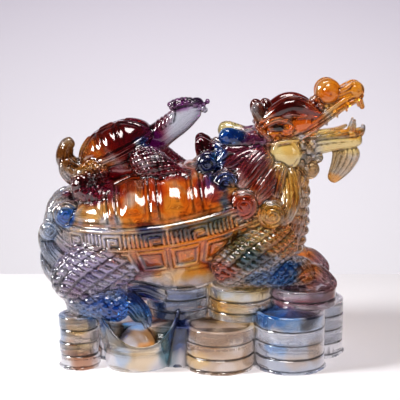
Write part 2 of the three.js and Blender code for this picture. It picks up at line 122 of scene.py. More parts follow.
def limb(stations, relief=None, step=1.2, ends=(1, 1), both=True, boxy=2.0, side=(0, 1, 0)):
    # stations are x, y, z, half width and half height; the ends are rounded off
    line, run = pathThrough(stations)
    total = run[-1]
    reach = [ends[i] * 0.5 * (line[-i, 3] + line[-i, 4]) for i in (0, 1)]
    fit = min(1, 0.9 * total / max(sum(reach), 1e-6))
    reach = [max(r * fit, 1e-3) for r in reach]
    places, rounding = [], []
    for i in (0, 1):
        steps = max(3, int(1.6 * reach[i] / step))
        angle = np.linspace(0, math.pi / 2, steps + 1)[1:]
        places.append(reach[i] * (1 - np.cos(angle)))
        rounding.append(np.sin(angle))
    middle = np.linspace(reach[0], total - reach[1], max(2, int((total - sum(reach)) / step) + 1))[1:-1]
    s = np.concatenate([places[0], middle, total - places[1][::-1]])
    rim = np.concatenate([rounding[0], np.ones(len(middle)), rounding[1][::-1]])
    at = np.stack([np.interp(s, run, line[:, i]) for i in range(5)], 1)
    slope = np.gradient(line[:, :3], run + np.arange(len(run)) * 1e-9, axis=0)
    tangent = np.stack([np.interp(s, run, slope[:, i]) for i in range(3)], 1)
    tangent /= np.linalg.norm(tangent, axis=1)[:, None]
    side = np.array(side, float)
    across = side - (tangent @ side)[:, None] * tangent
    across /= np.linalg.norm(across, axis=1)[:, None]
    up = np.cross(tangent, across)
    w, h = at[:, 3:4], at[:, 4:5]
    around = max(8, 2 * int(math.pi * max(w.max(), h.max()) / step))
    theta = np.linspace(0, 2 * math.pi, around, endpoint=False)[None, :]
    c, d = np.cos(theta), np.sin(theta)
    if boxy != 2:
        c, d = np.sign(c) * np.abs(c) ** (2 / boxy), np.sign(d) * np.abs(d) ** (2 / boxy)
    out = np.zeros((len(s), around))
    if relief:
        girth = 2 * math.pi * math.sqrt((w.max() ** 2 + h.max() ** 2) / 2)
        out = relief(s[:, None], theta, girth, total) * rim[:, None] ** 0.5
    nx, ny = h * c, w * d
    size = np.hypot(nx, ny) + 1e-9
    a = w * rim[:, None] * c + out * nx / size
    b = h * rim[:, None] * d + out * ny / size
    rings = at[:, None, :3] + a[..., None] * across[:, None, :] + b[..., None] * up[:, None, :]
    skin(rings, line[0, :3], line[-1, :3], both)


def ball(centre, radii, relief=None, step=1.2, both=True, tilt=0.0, turn=0.0):
    # an egg whose poles lie across the figure; tilt turns it about Y and turn about Z, in degrees
    rx, ry, rz = radii
    rows = max(6, int(math.pi * (max(rx, rz) + ry) / 2 / step))
    around = max(10, int(2 * math.pi * max(rx, rz) / step))
    lat = np.linspace(0, math.pi, rows + 1)[1:-1, None]
    phi = np.linspace(0, 2 * math.pi, around, endpoint=False)[None, :]
    n = np.stack([np.sin(lat) * np.cos(phi), np.cos(lat) + 0 * phi, np.sin(lat) * np.sin(phi)], -1)
    points = n * [rx, ry, rz]
    poles = np.array([[0, ry, 0], [0, -ry, 0]], float)
    if relief:
        normal = n / [rx, ry, rz]
        normal /= np.linalg.norm(normal, axis=-1)[..., None]
        points = points + normal * relief(np.sin(lat) + 0 * phi, phi + 0 * lat)[..., None]
        poles[:, 1] *= 1 + relief(np.zeros(1), np.zeros(1))[0] / ry
    a, b = math.radians(tilt), math.radians(turn)
    spin = np.array([[math.cos(a), 0, -math.sin(a)], [0, 1, 0], [math.sin(a), 0, math.cos(a)]])
    veer = np.array([[math.cos(b), -math.sin(b), 0], [math.sin(b), math.cos(b), 0], [0, 0, 1]])
    move = (veer @ spin).T
    poles = poles @ move + centre
    skin(points @ move + centre, poles[0], poles[1], both)


# Reliefs, in millimetres outwards along the skin


def scales(cell, depth, lattice=0.5, lean=0.0):
    # diamonds in rows round a limb; lattice 0 overlaps them like tiles, 1 makes them even cushions
    steep, flat = (math.tan(math.radians(45 + k * lean)) for k in (1, -1))

    def relief(s, theta, girth, total):
        count = max(4, round(girth / (1.35 * cell)))
        u, v = s / (0.75 * (steep + flat) * cell), theta * count / (2 * math.pi)
        p, q = steep * u + v, flat * u - v
        p, q = p - np.floor(p), q - np.floor(q)
        edge = np.minimum(np.minimum(p, 1 - p), np.minimum(q, 1 - q))
        cushion = blend(0.0, 0.24, edge) + 0.35 * blend(0.1, 0.5, edge)
        tile = (0.1 + 1.2 * (1 - (p + q) / 2)) * blend(0, 0.16, np.minimum(p, q))
        return depth * (lattice * cushion + (1 - lattice) * tile)

    return relief


def strands(gap, depth, twist=0.0):
    # hair lines along a limb, about gap apart
    def relief(s, theta, girth, total):
        count = max(5, round(girth / gap))
        return depth * np.abs(np.sin(count * theta / 2 + twist * s / total)) ** 0.6

    return relief


def plates(pitch, depth):
    def relief(s, theta, girth, total):
        f = s / pitch - np.floor(s / pitch)
        return depth * blend(0, 0.16, f) * (1 - 0.5 * f) + 0 * theta

    return relief


def knobs(cell, depth, seed=0.0):
    # round bumps of uneven size
    def relief(s, theta, girth, total):
        count = max(4, round(girth / cell))
        u, v = s / cell, theta * count / (2 * math.pi) + 0.5 * (np.floor(s / cell) % 2)
        f, g = u - np.floor(u) - 0.5, v - np.floor(v) - 0.5
        size = 0.65 + 0.35 * np.sin(5.1 * np.floor(u) + 3.7 * (np.floor(v) % count) + seed)
        return depth * size * np.sqrt(np.clip(1 - 4.6 * (f**2 + g**2), 0, 1))

    return relief


def spiral(turns, start, depth, hand=1, fine=0.25):
    def relief(rho, phi):
        psi = hand * (phi - math.radians(start)) / (2 * math.pi) + turns * rho
        ridge = np.abs(np.sin(math.pi * psi)) ** 0.6 + fine * np.abs(np.sin(3 * math.pi * psi)) ** 0.6
        return depth * ridge * blend(0, 0.2, rho) + depth * (1 - blend(0, 0.2, rho))

    return relief


def scroll(centre, radius, bulge, start, hand=1, gap=2.5, depth=1.0, **more):
    # a snail of hair: a lens with a spiral groove on both faces
    ball(centre, (radius, bulge, radius), spiral(radius / gap, start, depth, hand, 0), step=0.6, **more)


# Base of coins
coins = dict(
    big=21.0,  # radius of the wide coins
    medium=19.5,
    small=12.0,
    flare=0.8,  # skin of glass that ran out round each foot
    joint=1.5,  # depth of the groove between two coins
    shift=0.35,  # how untidily the coins lie on each other
    bevel=0.7,
    foot=1.6,  # height of the skin of glass round each foot
    lip=2.2,  # width of the border of the top coin
    dish=0.7,  # and how deep its middle lies
)
stackList = [  # x, y, radius, coin thickness, coins, bottom
    (-73.5, 27, "small", 7.8, 4, 0),
    (-73.5, -27, "small", 7.8, 4, 0),
    (9, -27, "big", 8.4, 3, 0),
    (50.4, -27, "big", 8.4, 4, 0),
    (48.7, 27, "big", 8.4, 4, 0),
    (6, 27, "big", 8.4, 3, 0),
    (-35.9, 27, "big", 7.15, 4, 0),
    (66, 0, "medium", 8.4, 4, 0),
    (-63.3, 0, "medium", 7.8, 4, 0),
    (59, -19.4, "medium", 6.3, 2, 33.6),
    (59, 19.4, "medium", 6.3, 2, 33.6),
    (21.6, -15.7, "medium", 7, 3, 25.2),
    (21.6, 15.7, "medium", 7, 3, 25.2),
    (-15.4, -11.3, "medium", 7, 3, 25.2),
    (-15.4, 11.3, "medium", 7, 3, 25.2),
]


def coinStack(x, y, kind, thick, count, bottom):
    radius = coins[kind]
    around = 96
    phi = np.linspace(0, 2 * math.pi, around, endpoint=False)
    rings = []

    def ring(r, z, dx=0.0, dy=0.0, ripple=0.0):
        r = r + ripple * np.sin(5 * phi + x) * np.sin(3 * phi + y + 1)
        rings.append(np.stack([x + dx + r * np.cos(phi), y + dy + r * np.sin(phi), z + 0 * phi], 1))

    bevel, shift = coins["bevel"], coins["shift"]
    inset = radius - shift
    if bottom == 0:
        ring(radius + 0.75 * coins["flare"], 0, ripple=0.55)
        ring(radius + 0.6 * coins["flare"], 0.6 * coins["foot"], ripple=0.5)
        ring(inset - 0.3, coins["foot"])
    for i in range(count):
        low, high = bottom + i * thick, bottom + (i + 1) * thick
        dx, dy = shift * math.sin(3.1 * i + x), shift * math.sin(2.3 * i + y + 1)
        if i:
            ring(inset - coins["joint"], low)
            ring(inset, low + bevel, dx, dy)
        for share in (0.3, 0.5, 0.7):
            ring(inset, low + share * thick, dx, dy)
        ring(inset, high - bevel, dx, dy)
    top = bottom + count * thick
    ring(inset - bevel, top)
    ring(inset - coins["lip"], top)
    ring(inset - (coins["lip"] + 0.8), top - coins["dish"])
    skin(np.array(rings), [x, y, bottom], [x, y, top - coins["dish"]])


def column(x, halfLength, halfWidth, height):
    # smooth glass between the stacks
    phi = np.linspace(0, 2 * math.pi, 96, endpoint=False)
    oval = np.stack([x + halfLength * np.cos(phi), halfWidth * np.sin(phi), 0 * phi], 1)
    rings = [oval + [0, 0, z] for z in (0, height * 0.5, height - 0.6)]
    rings.append((oval - [x, 0, 0]) * [0.985, 0.985, 1] + [x, 0, height])
    skin(np.array(rings), [x, 0, 0], [x, 0, height])


for entry in stackList:
    coinStack(*entry)
column(0, 73.5, 35.5, 24.7)
column(8.55, 42.75, 21.1, 45.2)
print("coins done")

# Ingot under the near hind foot
ingot = dict(
    x=-38.5,
    y=-30.0,
    length=50.0,
    width=36.0,
    side=17.0,  # height of the rim at the sides
    tip=37.0,  # and at the two ends
    turn=12.0,  # degrees
    wall=1.8,
    egg=0.47,  # share of the half size
    curve=2.4,  # how suddenly the rim rises to the tips
    eggTop=25.0,
)


def makeIngot():
    phi = np.linspace(0, 2 * math.pi, 110, endpoint=False)
    rim = ingot["side"] + (ingot["tip"] - ingot["side"]) * np.abs(np.cos(phi)) ** ingot["curve"]
    wall = 2 * ingot["wall"] / ingot["length"]
    outline = [(0.6, 0, 0), (0.72, 0, 0), (0.76, 0.06, 0), (0.8, 0.22, 0), (0.845, 0.4, 0), (0.89, 0.58, 0)]
    outline += [(0.935, 0.75, 0), (0.975, 0.9, 0), (0.998, 0.975, 0), (1 - 0.35 * wall, 1, 0)]
    outline += [(1 - wall, 0.975, 0), (1 - 1.3 * wall, 0.85, 2), (0.86, 0.55, 6.5), (0.8, 0.25, 10.5)]
    outline += [(0.72, 0.05, 13.5), (0.64, 0, 13.2), (0.56, 0, 12.6), (0.49, 0, 12.2)]
    for r in (0.46, 0.44, 0.4, 0.34, 0.26, 0.16, 0.06):
        outline.append((r, 0, 12 + (ingot["eggTop"] - 12) * math.sqrt(1 - (r / ingot["egg"]) ** 2)))
    turn = math.radians(ingot["turn"])
    rings = []
    for r, share, plain in outline:
        x, y = r * np.cos(phi) * ingot["length"] / 2, r * np.sin(phi) * ingot["width"] / 2
        along = ingot["x"] + x * math.cos(turn) - y * math.sin(turn)
        across = ingot["y"] + x * math.sin(turn) + y * math.cos(turn)
        rings.append(np.stack([along, across, share * rim + plain], 1))
    middle = [ingot["x"], ingot["y"]]
    skin(np.array(rings), [*middle, 0], [*middle, ingot["eggTop"]])


makeIngot()
print("ingot done")

# Shells
dragonShell = dict(
    halfLength=65.0,
    halfWidth=46.0,
    band=9.5,
    dome=20.0,
    belly=36.0,
    pitch=8.8,  # degrees, nose up
    dip=5.0,
    centre=(-22, 0, 81.7),
    edge=1.0,  # size of the mouldings
    middle=[-0.8, -0.44, -0.06, 0.32, 0.7],
    side=[-0.63, -0.25, 0.13, 0.51],
)
tortoiseShell = dict(
    halfLength=24.5,
    halfWidth=19.0,
    band=1.6,
    dome=13.0,
    belly=7.0,
    pitch=26.0,
    dip=1.5,
    centre=(-51, 0, 123.7),
    edge=0.5,
    middle=[-0.66, 0, 0.66],
    side=[-0.5, 0, 0.5],
)
meander = dict(units=14, proud=0.95, line=0.75)
frames = dict(count=16, middle=11.5, high=6.6, share=0.36, proud=1.1, field=0.55)  # under the dragon's rim


def settle(p, shell):
    # from the shell's own frame to the figure's
    x, y, z = p[..., 0], p[..., 1], p[..., 2]
    r = np.hypot(x / shell["halfLength"], y / shell["halfWidth"])
    z = z - shell["dip"] * r**2 * (y / shell["halfWidth"]) ** 2
    a = math.radians(shell["pitch"])
    out = np.stack([x * math.cos(a) - z * math.sin(a), y, x * math.sin(a) + z * math.cos(a)], -1)
    return out + shell["centre"]


def domeHeight(r, shell):
    foot = shell["band"] + 2.6 * shell["edge"]
    return foot + shell["dome"] * (1 - np.clip(r, 0, 1) ** 2.3) ** 0.62


def scuteEdge(x, y, shell):
    # distance to the nearest line between two scutes, and which scute it is
    centres = [(m * shell["halfLength"], 0) for m in shell["middle"]]
    for m in shell["side"]:
        centres += [(m * shell["halfLength"], k * 0.62 * shell["halfWidth"]) for k in (-1, 1)]
    centres = np.array(centres)
    d = (x[..., None] - centres[:, 0]) ** 2 + (y[..., None] - centres[:, 1]) ** 2
    first = np.argmin(d, -1)
    best = np.take_along_axis(d, first[..., None], -1)
    gap = np.linalg.norm(centres[first][..., None, :] - centres, axis=-1)
    away = (d - best) / np.maximum(2 * gap, 1e-6)
    away[gap < 1e-6] = 1e9
    return away.min(-1), first


def makeDome(shell, across, lines):
    # the domed top with its scutes
    u = np.linspace(-1, 1, int(across * shell["halfLength"] / shell["halfWidth"]))[:, None]
    v = np.linspace(-1, 1, across)[None, :]
    x, y = u * np.sqrt(1 - v**2 / 2), v * np.sqrt(1 - u**2 / 2)
    reach = 0.985
    x, y = x * reach * shell["halfLength"], y * reach * shell["halfWidth"]
    r = np.hypot(x / shell["halfLength"], y / shell["halfWidth"])
    z = domeHeight(r / 0.983, shell)
    edge, _ = scuteEdge(x, y, shell)
    edge = np.minimum(edge, 1.5 * (z - domeHeight(1, shell)) + 0.2 * lines["net"])
    net, groove, ridge, pane = lines["net"], lines["groove"], lines["ridge"], lines["pane"]
    h = lines["lift"] * (1 - blend(net - 0.45, net + 0.45, edge))
    h += lines["thin"] * blend(groove - 0.5, groove + 0.2, edge) * (1 - blend(ridge, ridge + 0.7, edge))
    h += lines["cushion"] * blend(pane, pane + 3.2 * net, edge)
    fade = 1 - blend(0.94, 0.97, r)
    p = np.stack([x, y, z + h * fade], -1)
    rows, columns = p.shape[:2]
    index = np.arange(rows * columns).reshape(rows, columns)
    quads = np.stack([index[:-1, :-1], index[1:, :-1], index[1:, 1:], index[:-1, 1:]], -1).reshape(-1, 4)
    border = np.concatenate([index[0, :-1], index[:-1, -1], index[-1, :0:-1], index[:0:-1, 0]])
    foot = rows * columns
    caps = np.stack([border, np.roll(border, -1), np.full(len(border), foot)], 1)
    deep = [[0, 0, shell["band"] - 4 * shell["edge"]]]
    keep(settle(np.vstack([p.reshape(-1, 3), deep]), shell), quads, caps)


def ovalRun(shell, count):
    # angles evenly spaced along the rim
    phi = np.linspace(0, 2 * math.pi, 2001)
    x, y = shell["halfLength"] * np.cos(phi), shell["halfWidth"] * np.sin(phi)
    run = np.concatenate([[0], np.cumsum(np.hypot(np.diff(x), np.diff(y)))])
    return np.interp(np.linspace(0, run[-1], count, endpoint=False), run, phi), run[-1]


def meanderHeight(u, v, unit, high):
    # one unit of the key: two nested squares open below, then five upright bars
    line = meander["line"]
    f = u - np.floor(u / unit) * unit

    def upright(at, low, top):
        return np.hypot(f - at, np.maximum(np.maximum(low - v, v - top), 0))

    def level(at, left, right):
        return np.hypot(np.maximum(np.maximum(left - f, f - right), 0), v - at)

    half = unit / 2
    outer, inner = (1.3, half - 0.9), (4.1, half - 3.7)
    parts = [upright(outer[0], 0.5, high - 1.1), upright(outer[1], 0.5, high - 1.1)]
    parts.append(level(high - 1.1, *outer))
    parts += [upright(inner[0], 0.5, high - 3.7), upright(inner[1], 2.4, high - 3.7)]
    parts += [level(high - 3.7, *inner), level(2.4, half / 2, inner[1])]
    for i in range(5):
        parts.append(upright(half + 1.6 + i * (half - 2.4) / 4, 0.7, high - 1.2))
    nearest = np.minimum.reduce(parts)
    return meander["proud"] * (1 - blend(line - 0.25, line + 0.3, nearest))


def makeRim(shell, count, key):
    phi, girth = ovalRun(shell, count)
    e, band = shell["edge"], shell["band"]
    outline = [(0.9, -2.6 * e), (0.975, -2.2 * e), (1.012, -1.9 * e), (1.028, -1.2 * e)]
    outline += [(1.03, -0.4 * e), (1.018, 0.3 * e)]
    face = []
    if key:
        face = [(1.006 - 0.004 * t, 0.5 * e + t * (band - 1.4 * e)) for t in np.linspace(0, 1, 16)]
    outline += face
    outline += [(1.01, band - 0.6 * e), (1.024, band), (1.026, band + 0.8 * e), (1.012, band + 1.4 * e)]
    outline += [(0.997, band + 1.6 * e), (0.985, band + 2 * e), (0.99, band + 2.5 * e)]
    outline += [(0.985, band + 3.1 * e), (0.965, band + 3.4 * e), (0.93, band + 2.6 * e)]
    rings = []
    along = np.linspace(0, girth, count, endpoint=False)
    low, high = 0.5 * e, band - 1.4 * e
    for r, z in outline:
        out = 0 * phi
        if (r, z) in face:
            out = meanderHeight(along, np.full(count, z - low), girth / meander["units"], high)
        x, y = np.cos(phi) * r * shell["halfLength"], np.sin(phi) * r * shell["halfWidth"]
        n = np.stack([np.cos(phi) / shell["halfLength"], np.sin(phi) / shell["halfWidth"]], 1)
        n /= np.linalg.norm(n, axis=1)[:, None]
        rings.append(np.stack([x + out * n[:, 0], y + out * n[:, 1], z + 0 * phi], 1))
    ends = [settle(np.array([0, 0, z]), shell) for z in (-3 * e, band)]
    skin(settle(np.array(rings), shell), *ends)


def makeUnder(shell, count, framed):
    phi, girth = ovalRun(shell, count)
    rows = 34 if framed else 12
    t = np.linspace(0, 1, rows)[:, None]
    share = 0.97 - 0.37 * t**1.2
    z = -0.5 * shell["edge"] - (shell["belly"] - 0.5 * shell["edge"]) * t
    n = np.stack([np.cos(phi) / shell["halfLength"], np.sin(phi) / shell["halfWidth"]], 1)
    n /= np.linalg.norm(n, axis=1)[:, None]
    out = np.zeros((rows, count))
    if framed:
        # raised frames side by side under the rim
        unit = girth / frames["count"]
        f = np.linspace(0, girth, count, endpoint=False)[None, :]
        f = np.abs(f - np.floor(f / unit) * unit - unit / 2)
        g = np.abs(t * shell["belly"] - frames["middle"])
        away = np.maximum(f - frames["share"] * unit, g - frames["high"])
        out = frames["proud"] * (1 - blend(0.55, 1.1, np.abs(away)))
        out = out + frames["field"] * (1 - blend(-4.4, -3.0, away))
        out += 0.5 * blend(0, 1.5, f - 0.47 * unit)
    x = np.cos(phi) * share * shell["halfLength"] + out * n[:, 0]
    y = np.sin(phi) * share * shell["halfWidth"] + out * n[:, 1]
    rings = settle(np.stack([x, y, z + 0 * x], -1), shell)
    ends = [settle(np.array([0.0, 0.0, d]), shell) for d in (0.0, -shell["belly"])]
    skin(rings, *ends)


# the net between the scutes: half widths outwards from its middle, then heights
netLines = dict(net=1.8, groove=2.8, ridge=3.5, pane=4.4, lift=1.4, thin=0.6, cushion=2.0)
smallNet = dict(net=0.8, groove=1.4, ridge=1.8, pane=2.2, lift=0.9, thin=0.2, cushion=1.2)
makeDome(dragonShell, 110, netLines)
makeRim(dragonShell, 588, True)
makeUnder(dragonShell, 300, True)
makeDome(tortoiseShell, 72, smallNet)
makeRim(tortoiseShell, 150, False)
makeUnder(tortoiseShell, 110, False)
print("shells done")

# Legs
legs = dict(scale=4.6, rise=1.5)  # width of a scale and how far it stands out


def paw(x, y, z, length, spread, drop, radius, both=True):
    # four toes fanned out from the middle of a paw, each with a knuckle and a claw
    for i, place in enumerate((-1.5, -0.5, 0.5, 1.5)):
        turn = math.radians(place * spread)
        c, d = math.cos(turn), math.sin(turn)
        far = length * (1.0 - 0.06 * abs(place))

        def spot(part, lift, w, h):
            return [x + far * part * c, y + far * part * d, z + lift, w, h]

        limb([spot(-0.35, 0.0, radius * 0.8, radius * 0.8), spot(0.15, 2.0, radius * 0.92, radius),
              spot(0.5, 1.2, radius * 0.9, radius * 0.95),
              spot(0.82, -drop * 0.45, radius * 0.8, radius * 0.8),
              spot(0.98, -drop * 0.9, radius * 0.62, radius * 0.6)], strands(3.2, 0.5), step=0.8, both=both)
        limb([spot(0.86, -drop * 0.35, radius * 0.5, radius * 0.5),
              spot(1.04, -drop * 0.75, radius * 0.42, radius * 0.42),
              spot(1.12, -drop * 1.35, radius * 0.14, radius * 0.14)], step=0.7, both=both)


cell, rise = legs["scale"], legs["rise"]
limb([[52, 17, 77, 7, 8], [44, 23, 73.5, 9, 11], [30, 29, 68.5, 10.5, 13], [14, 30, 60, 10, 11.5],
      [6, 27, 56, 7, 8]], scales(cell * 0.9, rise, 0.5, 25), step=0.95)
limb([[8, 26, 57, 8, 8.5], [24, 26, 56.5, 9, 9.5], [40, 23, 55, 8.5, 8.5], [54, 19.4, 55, 9, 8],
      [66, 19.4, 52, 9, 6]], scales(cell * 0.85, rise * 0.8, 0.5), step=0.95)
paw(58, 19.4, 53.5, 18.5, 15, 6.0, 3.7)
limb([[-38, 22, 69, 11, 12], [-56, 29, 62, 13, 15], [-73, 29.5, 52, 12.5, 15.5], [-83, 28, 41, 9, 11]],
     scales(cell * 1.1, rise, 0.6, 28), step=0.9)
limb([[-80, 29, 40, 9, 10], [-66, 34, 41, 9, 9], [-52, 34.5, 38.5, 9.5, 9], [-42, 33.5, 37, 10, 8.5]],
     scales(cell * 0.8, rise * 0.7, 0.6), step=1.0)
paw(-50, 33.5, 37.5, 17.5, 15, 9.0, 5.3)
limb([[-46, 24, 45, 6, 6], [-35, 25, 46, 6, 5.5], [-26, 26, 42.5, 4.8, 4.4], [-21, 26, 39, 2.6, 2.6]],
     strands(4, 0.6), step=0.8)
print("legs done")

# Neck, chest and head
limb([[10, 0, 62, 27, 26], [32, 0, 76, 25.5, 26], [41, 0, 95, 21, 22], [42, 0, 112, 16, 18],
      [38, 0, 130, 11, 12]], knobs(4.0, 1.4), step=1.0, both=False)
# plates down the front of the chest
for i in range(8):
    z = 64 + 5.6 * i
    x = 60.5 - 0.012 * (z - 82) ** 2
    w = 11 - 0.06 * (z - 64)
    limb([[x - 5, -w, z, 2.2, 2.2], [x - 0.6, -w / 2, z, 2.7, 2.7], [x + 0.6, 0, z, 2.8, 2.8],
          [x - 0.6, w / 2, z, 2.7, 2.7], [x - 5, w, z, 2.2, 2.2]], step=1.0, both=False, side=(0, 0, 1))
limb([[28, 0, 132, 10, 9], [42, 0, 134, 14, 12.5], [55, 0, 139, 12.5, 11], [68, 0, 146.5, 8.5, 6.5]],
     knobs(3.2, 0.8, 1.0), step=0.9, both=False)
limb([[50, 0, 137, 11, 7], [66, 0, 145, 9.2, 6.6], [78, 0, 153, 7.6, 6.2], [87, 0, 157.6, 7.2, 5.8],
      [92.0, 0, 158.2, 5.6, 4.6]], knobs(3.0, 0.8, 2.0), step=0.8, both=False)
# lips of the upper jaw: two cords side by side
limb([[33, 12.5, 128.5, 1.0, 1.0], [42, 14.2, 130.5, 1.6, 1.6], [53, 12.6, 132.0, 1.6, 1.7],
      [61, 10.8, 135.6, 1.6, 1.7], [72, 9.0, 143.1, 1.6, 1.7], [82, 7.8, 150.2, 1.6, 1.7],
      [89.5, 6.8, 154.4, 1.6, 1.7], [93.0, 4.5, 157.6, 1.4, 1.6]], step=0.6)
limb([[52, 13.0, 135.4, 0.9, 0.9], [60, 11.4, 139.4, 1.3, 1.3], [71, 9.4, 146.8, 1.3, 1.3],
      [81, 8.2, 153.8, 1.3, 1.3], [88, 7.6, 157.4, 0.9, 0.9]], step=0.6)
limb([[46, 13.8, 133.4, 0.7, 0.7], [60, 11.6, 137.4, 0.7, 0.7], [84, 8.4, 153.4, 0.6, 0.6]], step=0.6)
# lower jaw with its lip, ridges and floor
limb([[40, 0, 121, 12, 8], [58, 0, 125, 9.6, 6.2], [74, 0, 128, 7.6, 4.6], [88, 0, 129.5, 6.2, 4.0],
      [93.4, 0, 132.0, 4.2, 2.8]], strands(2.6, 0.8), step=0.8, both=False)
limb([[46, 11, 126.5, 1.2, 1.3], [58, 9.8, 130.5, 1.5, 1.6], [70, 8.4, 132.6, 1.5, 1.6],
      [82, 7.0, 133.6, 1.5, 1.6], [89.6, 5.6, 134.4, 1.5, 1.6], [94.0, 2.2, 136.2, 1.4, 1.5]], step=0.6)
limb([[62, 9.8, 128.6, 0.8, 0.8], [76, 8.0, 130.2, 0.9, 0.9], [90, 6.0, 131.0, 0.8, 0.8]], step=0.6)
limb([[92, 0, 132, 2.2, 2.2], [94.2, 0, 136.2, 1.9, 1.6], [93.9, 0, 139.4, 1.5, 1.3]], step=0.6, both=False)
# tongue
limb([[52, 0, 130, 5, 2], [66, 0, 134.0, 5, 1.8], [78, 0, 136.0, 4, 1.5], [85, 0, 139, 2, 1]], step=0.9,
     both=False)
# teeth
for x, y, z in [(61, 9.4, 132.6), (67, 8.6, 133.6), (73, 8, 134.4), (79, 7.4, 134.8)]:
    limb([[x, y, z - 1.5, 1.3, 1.4], [x + 0.3, y, z + 1.6, 0.4, 0.4]], step=0.6)
for x, y, z in [(65, 9.8, 137.0), (71, 9.0, 141.4), (77, 8.2, 145.8), (82.5, 7.6, 149.4)]:
    limb([[x, y, z + 1.2, 1.3, 1.4], [x + 1.2, y, z - 2.2, 0.4, 0.4]], step=0.6)
limb([[90.6, 5.4, 155, 2.0, 2.1], [92.2, 5.6, 151.4, 1.6, 1.6], [92.8, 5.6, 148.6, 1.7, 1.7]], step=0.6)
limb([[86.6, 5, 133, 2.2, 2.3], [87.9, 5, 138, 1.7, 1.7], [88.6, 4.8, 143.0, 0.6, 0.6]], step=0.6)
# nose: a folded knob on top of the snout, and the curled tip with its nostrils
ball((72.6, 4.2, 158.9), (6.8, 5.4, 6.9), spiral(1.3, 60, 0.9), step=0.6, tilt=-12)
limb([[66.6, 6.6, 160.5, 1.2, 1.2], [71, 9.0, 157.0, 1.5, 1.5], [76.5, 8.2, 156.0, 1.3, 1.3]], step=0.6)
limb([[62, 4, 148, 3, 3], [66, 5, 152.5, 3.4, 3.2], [70, 6.4, 154, 3, 3]], knobs(2.4, 0.9), step=0.7)
limb([[76, 4, 155, 3.4, 3.2], [82, 4.6, 157.6, 3.4, 3], [88, 4.4, 159.6, 3.6, 3]], strands(2.2, 0.7),
     step=0.7)
scroll((88, 4.6, 159.6), 5.0, 3.6, 200, gap=2.4, depth=0.8, tilt=10)
limb([[78, 6.8, 158.6, 1.0, 1.0], [82, 7.6, 160.8, 1.3, 1.3], [86.4, 6.6, 164.0, 1.0, 1.0]], step=0.6)
for x, y, z, r in [
    (60.5, 6.4, 149.0, 3.0), (64.5, 6.2, 151.8, 2.6), (62.8, 8.8, 147.2, 2.4), (67.6, 8.0, 150.6, 2.3),
]:
    ball((x, y, z), (r, r, r), step=0.7)
# brow: one long smooth leaf that rises from the temple and comes down to a point in front
limb([[30, 8.5, 138.5, 1.2, 1.2], [36, 10.8, 142.4, 3.6, 3.6], [44, 12.2, 147.6, 5.2, 5.4],
      [51, 12.2, 150.4, 5.6, 6.0], [58, 11.2, 149.2, 5.0, 5.4], [64, 9.8, 147.0, 3.0, 3.4],
      [68, 8.8, 146.2, 1.0, 1.0]], strands(8.5, 0.9, 0.6), step=0.7)
limb([[31, 11, 139.6, 0.8, 0.8], [40, 15.6, 144.0, 1.0, 1.0], [50, 17.2, 147.0, 1.1, 1.1],
      [60, 15.2, 145.4, 0.8, 0.8]], step=0.6)
# eye with its lids and the curl at its front corner
ball((42.6, 14.2, 139.4), (6.4, 3.2, 3.9), step=0.6, tilt=12)
limb([[33.6, 13, 137.2, 0.8, 0.8], [37, 15.6, 141.4, 1.3, 1.5], [43, 16.8, 144.0, 1.5, 1.7],
      [48.4, 16.4, 142.6, 1.4, 1.6], [51, 15.6, 138.6, 1.3, 1.4], [49.6, 15.2, 135.2, 1.0, 1.1]], step=0.6)
limb([[34, 13.6, 136.4, 0.8, 0.8], [39, 16.2, 135.4, 1.1, 1.1], [45, 16.4, 135.6, 1.1, 1.1],
      [49, 15.6, 137, 0.8, 0.8]], step=0.6)
scroll((47.8, 15.4, 138.0), 3.3, 2.4, 30, gap=1.7, depth=0.7)
ball((56.4, 10.8, 141.0), (6.4, 4.4, 5.0), step=0.8, tilt=30)
# ear leaf at the back of the head
limb([[39, 9, 140.5, 3, 3.4], [34.0, 10.4, 145.0, 3.4, 4.4], [31.4, 10.4, 149.6, 2.8, 3.4],
      [32.6, 9.6, 153.0, 1.2, 1.4]], strands(2.1, 0.8, 1.0), step=0.7)
limb([[41, 5, 145, 3.4, 3], [36.5, 5, 150.0, 2.8, 3.2], [38.4, 4.4, 153.6, 1.6, 1.8]], strands(2.1, 0.7),
     step=0.7)
# horns
limb([[36, 10, 132.6, 5.6, 6.0], [25, 13.5, 130.9, 5.2, 5.6], [14.6, 16, 133.8, 4.8, 5.4],
      [9.8, 17, 137.6, 3.4, 3.9]], knobs(1.9, 0.45, 4.0), step=0.7)
# short hair between horn and eye
for k in range(6):
    x, z = 26 + 2.6 * k, 126.5 + 1.3 * k
    limb([[x + 6, 12, z + 6, 1.6, 1.8], [x + 2, 15.5, z + 3, 1.5, 1.8], [x, 16.4, z - 1.5, 0.6, 0.8]],
         step=0.6)
for k in range(5):
    x, z = 31 + 1.7 * k, 139.2 - 1.7 * k
    ball((x, 14.6 + 0.4 * k, z), (1.9, 2.4, 1.7), step=0.6)
# cheek shield with a raised border
ball((47.4, 13.6, 123.4), (8.6, 5.6, 8.8), lambda rho, phi: 0.9 * blend(0.74, 0.82, rho), step=0.7)
limb([[38.5, 14.8, 128.6, 1.0, 1.0], [46, 17.6, 131.0, 1.2, 1.2], [55.4, 14.6, 131.2, 1.0, 1.0]], step=0.6)
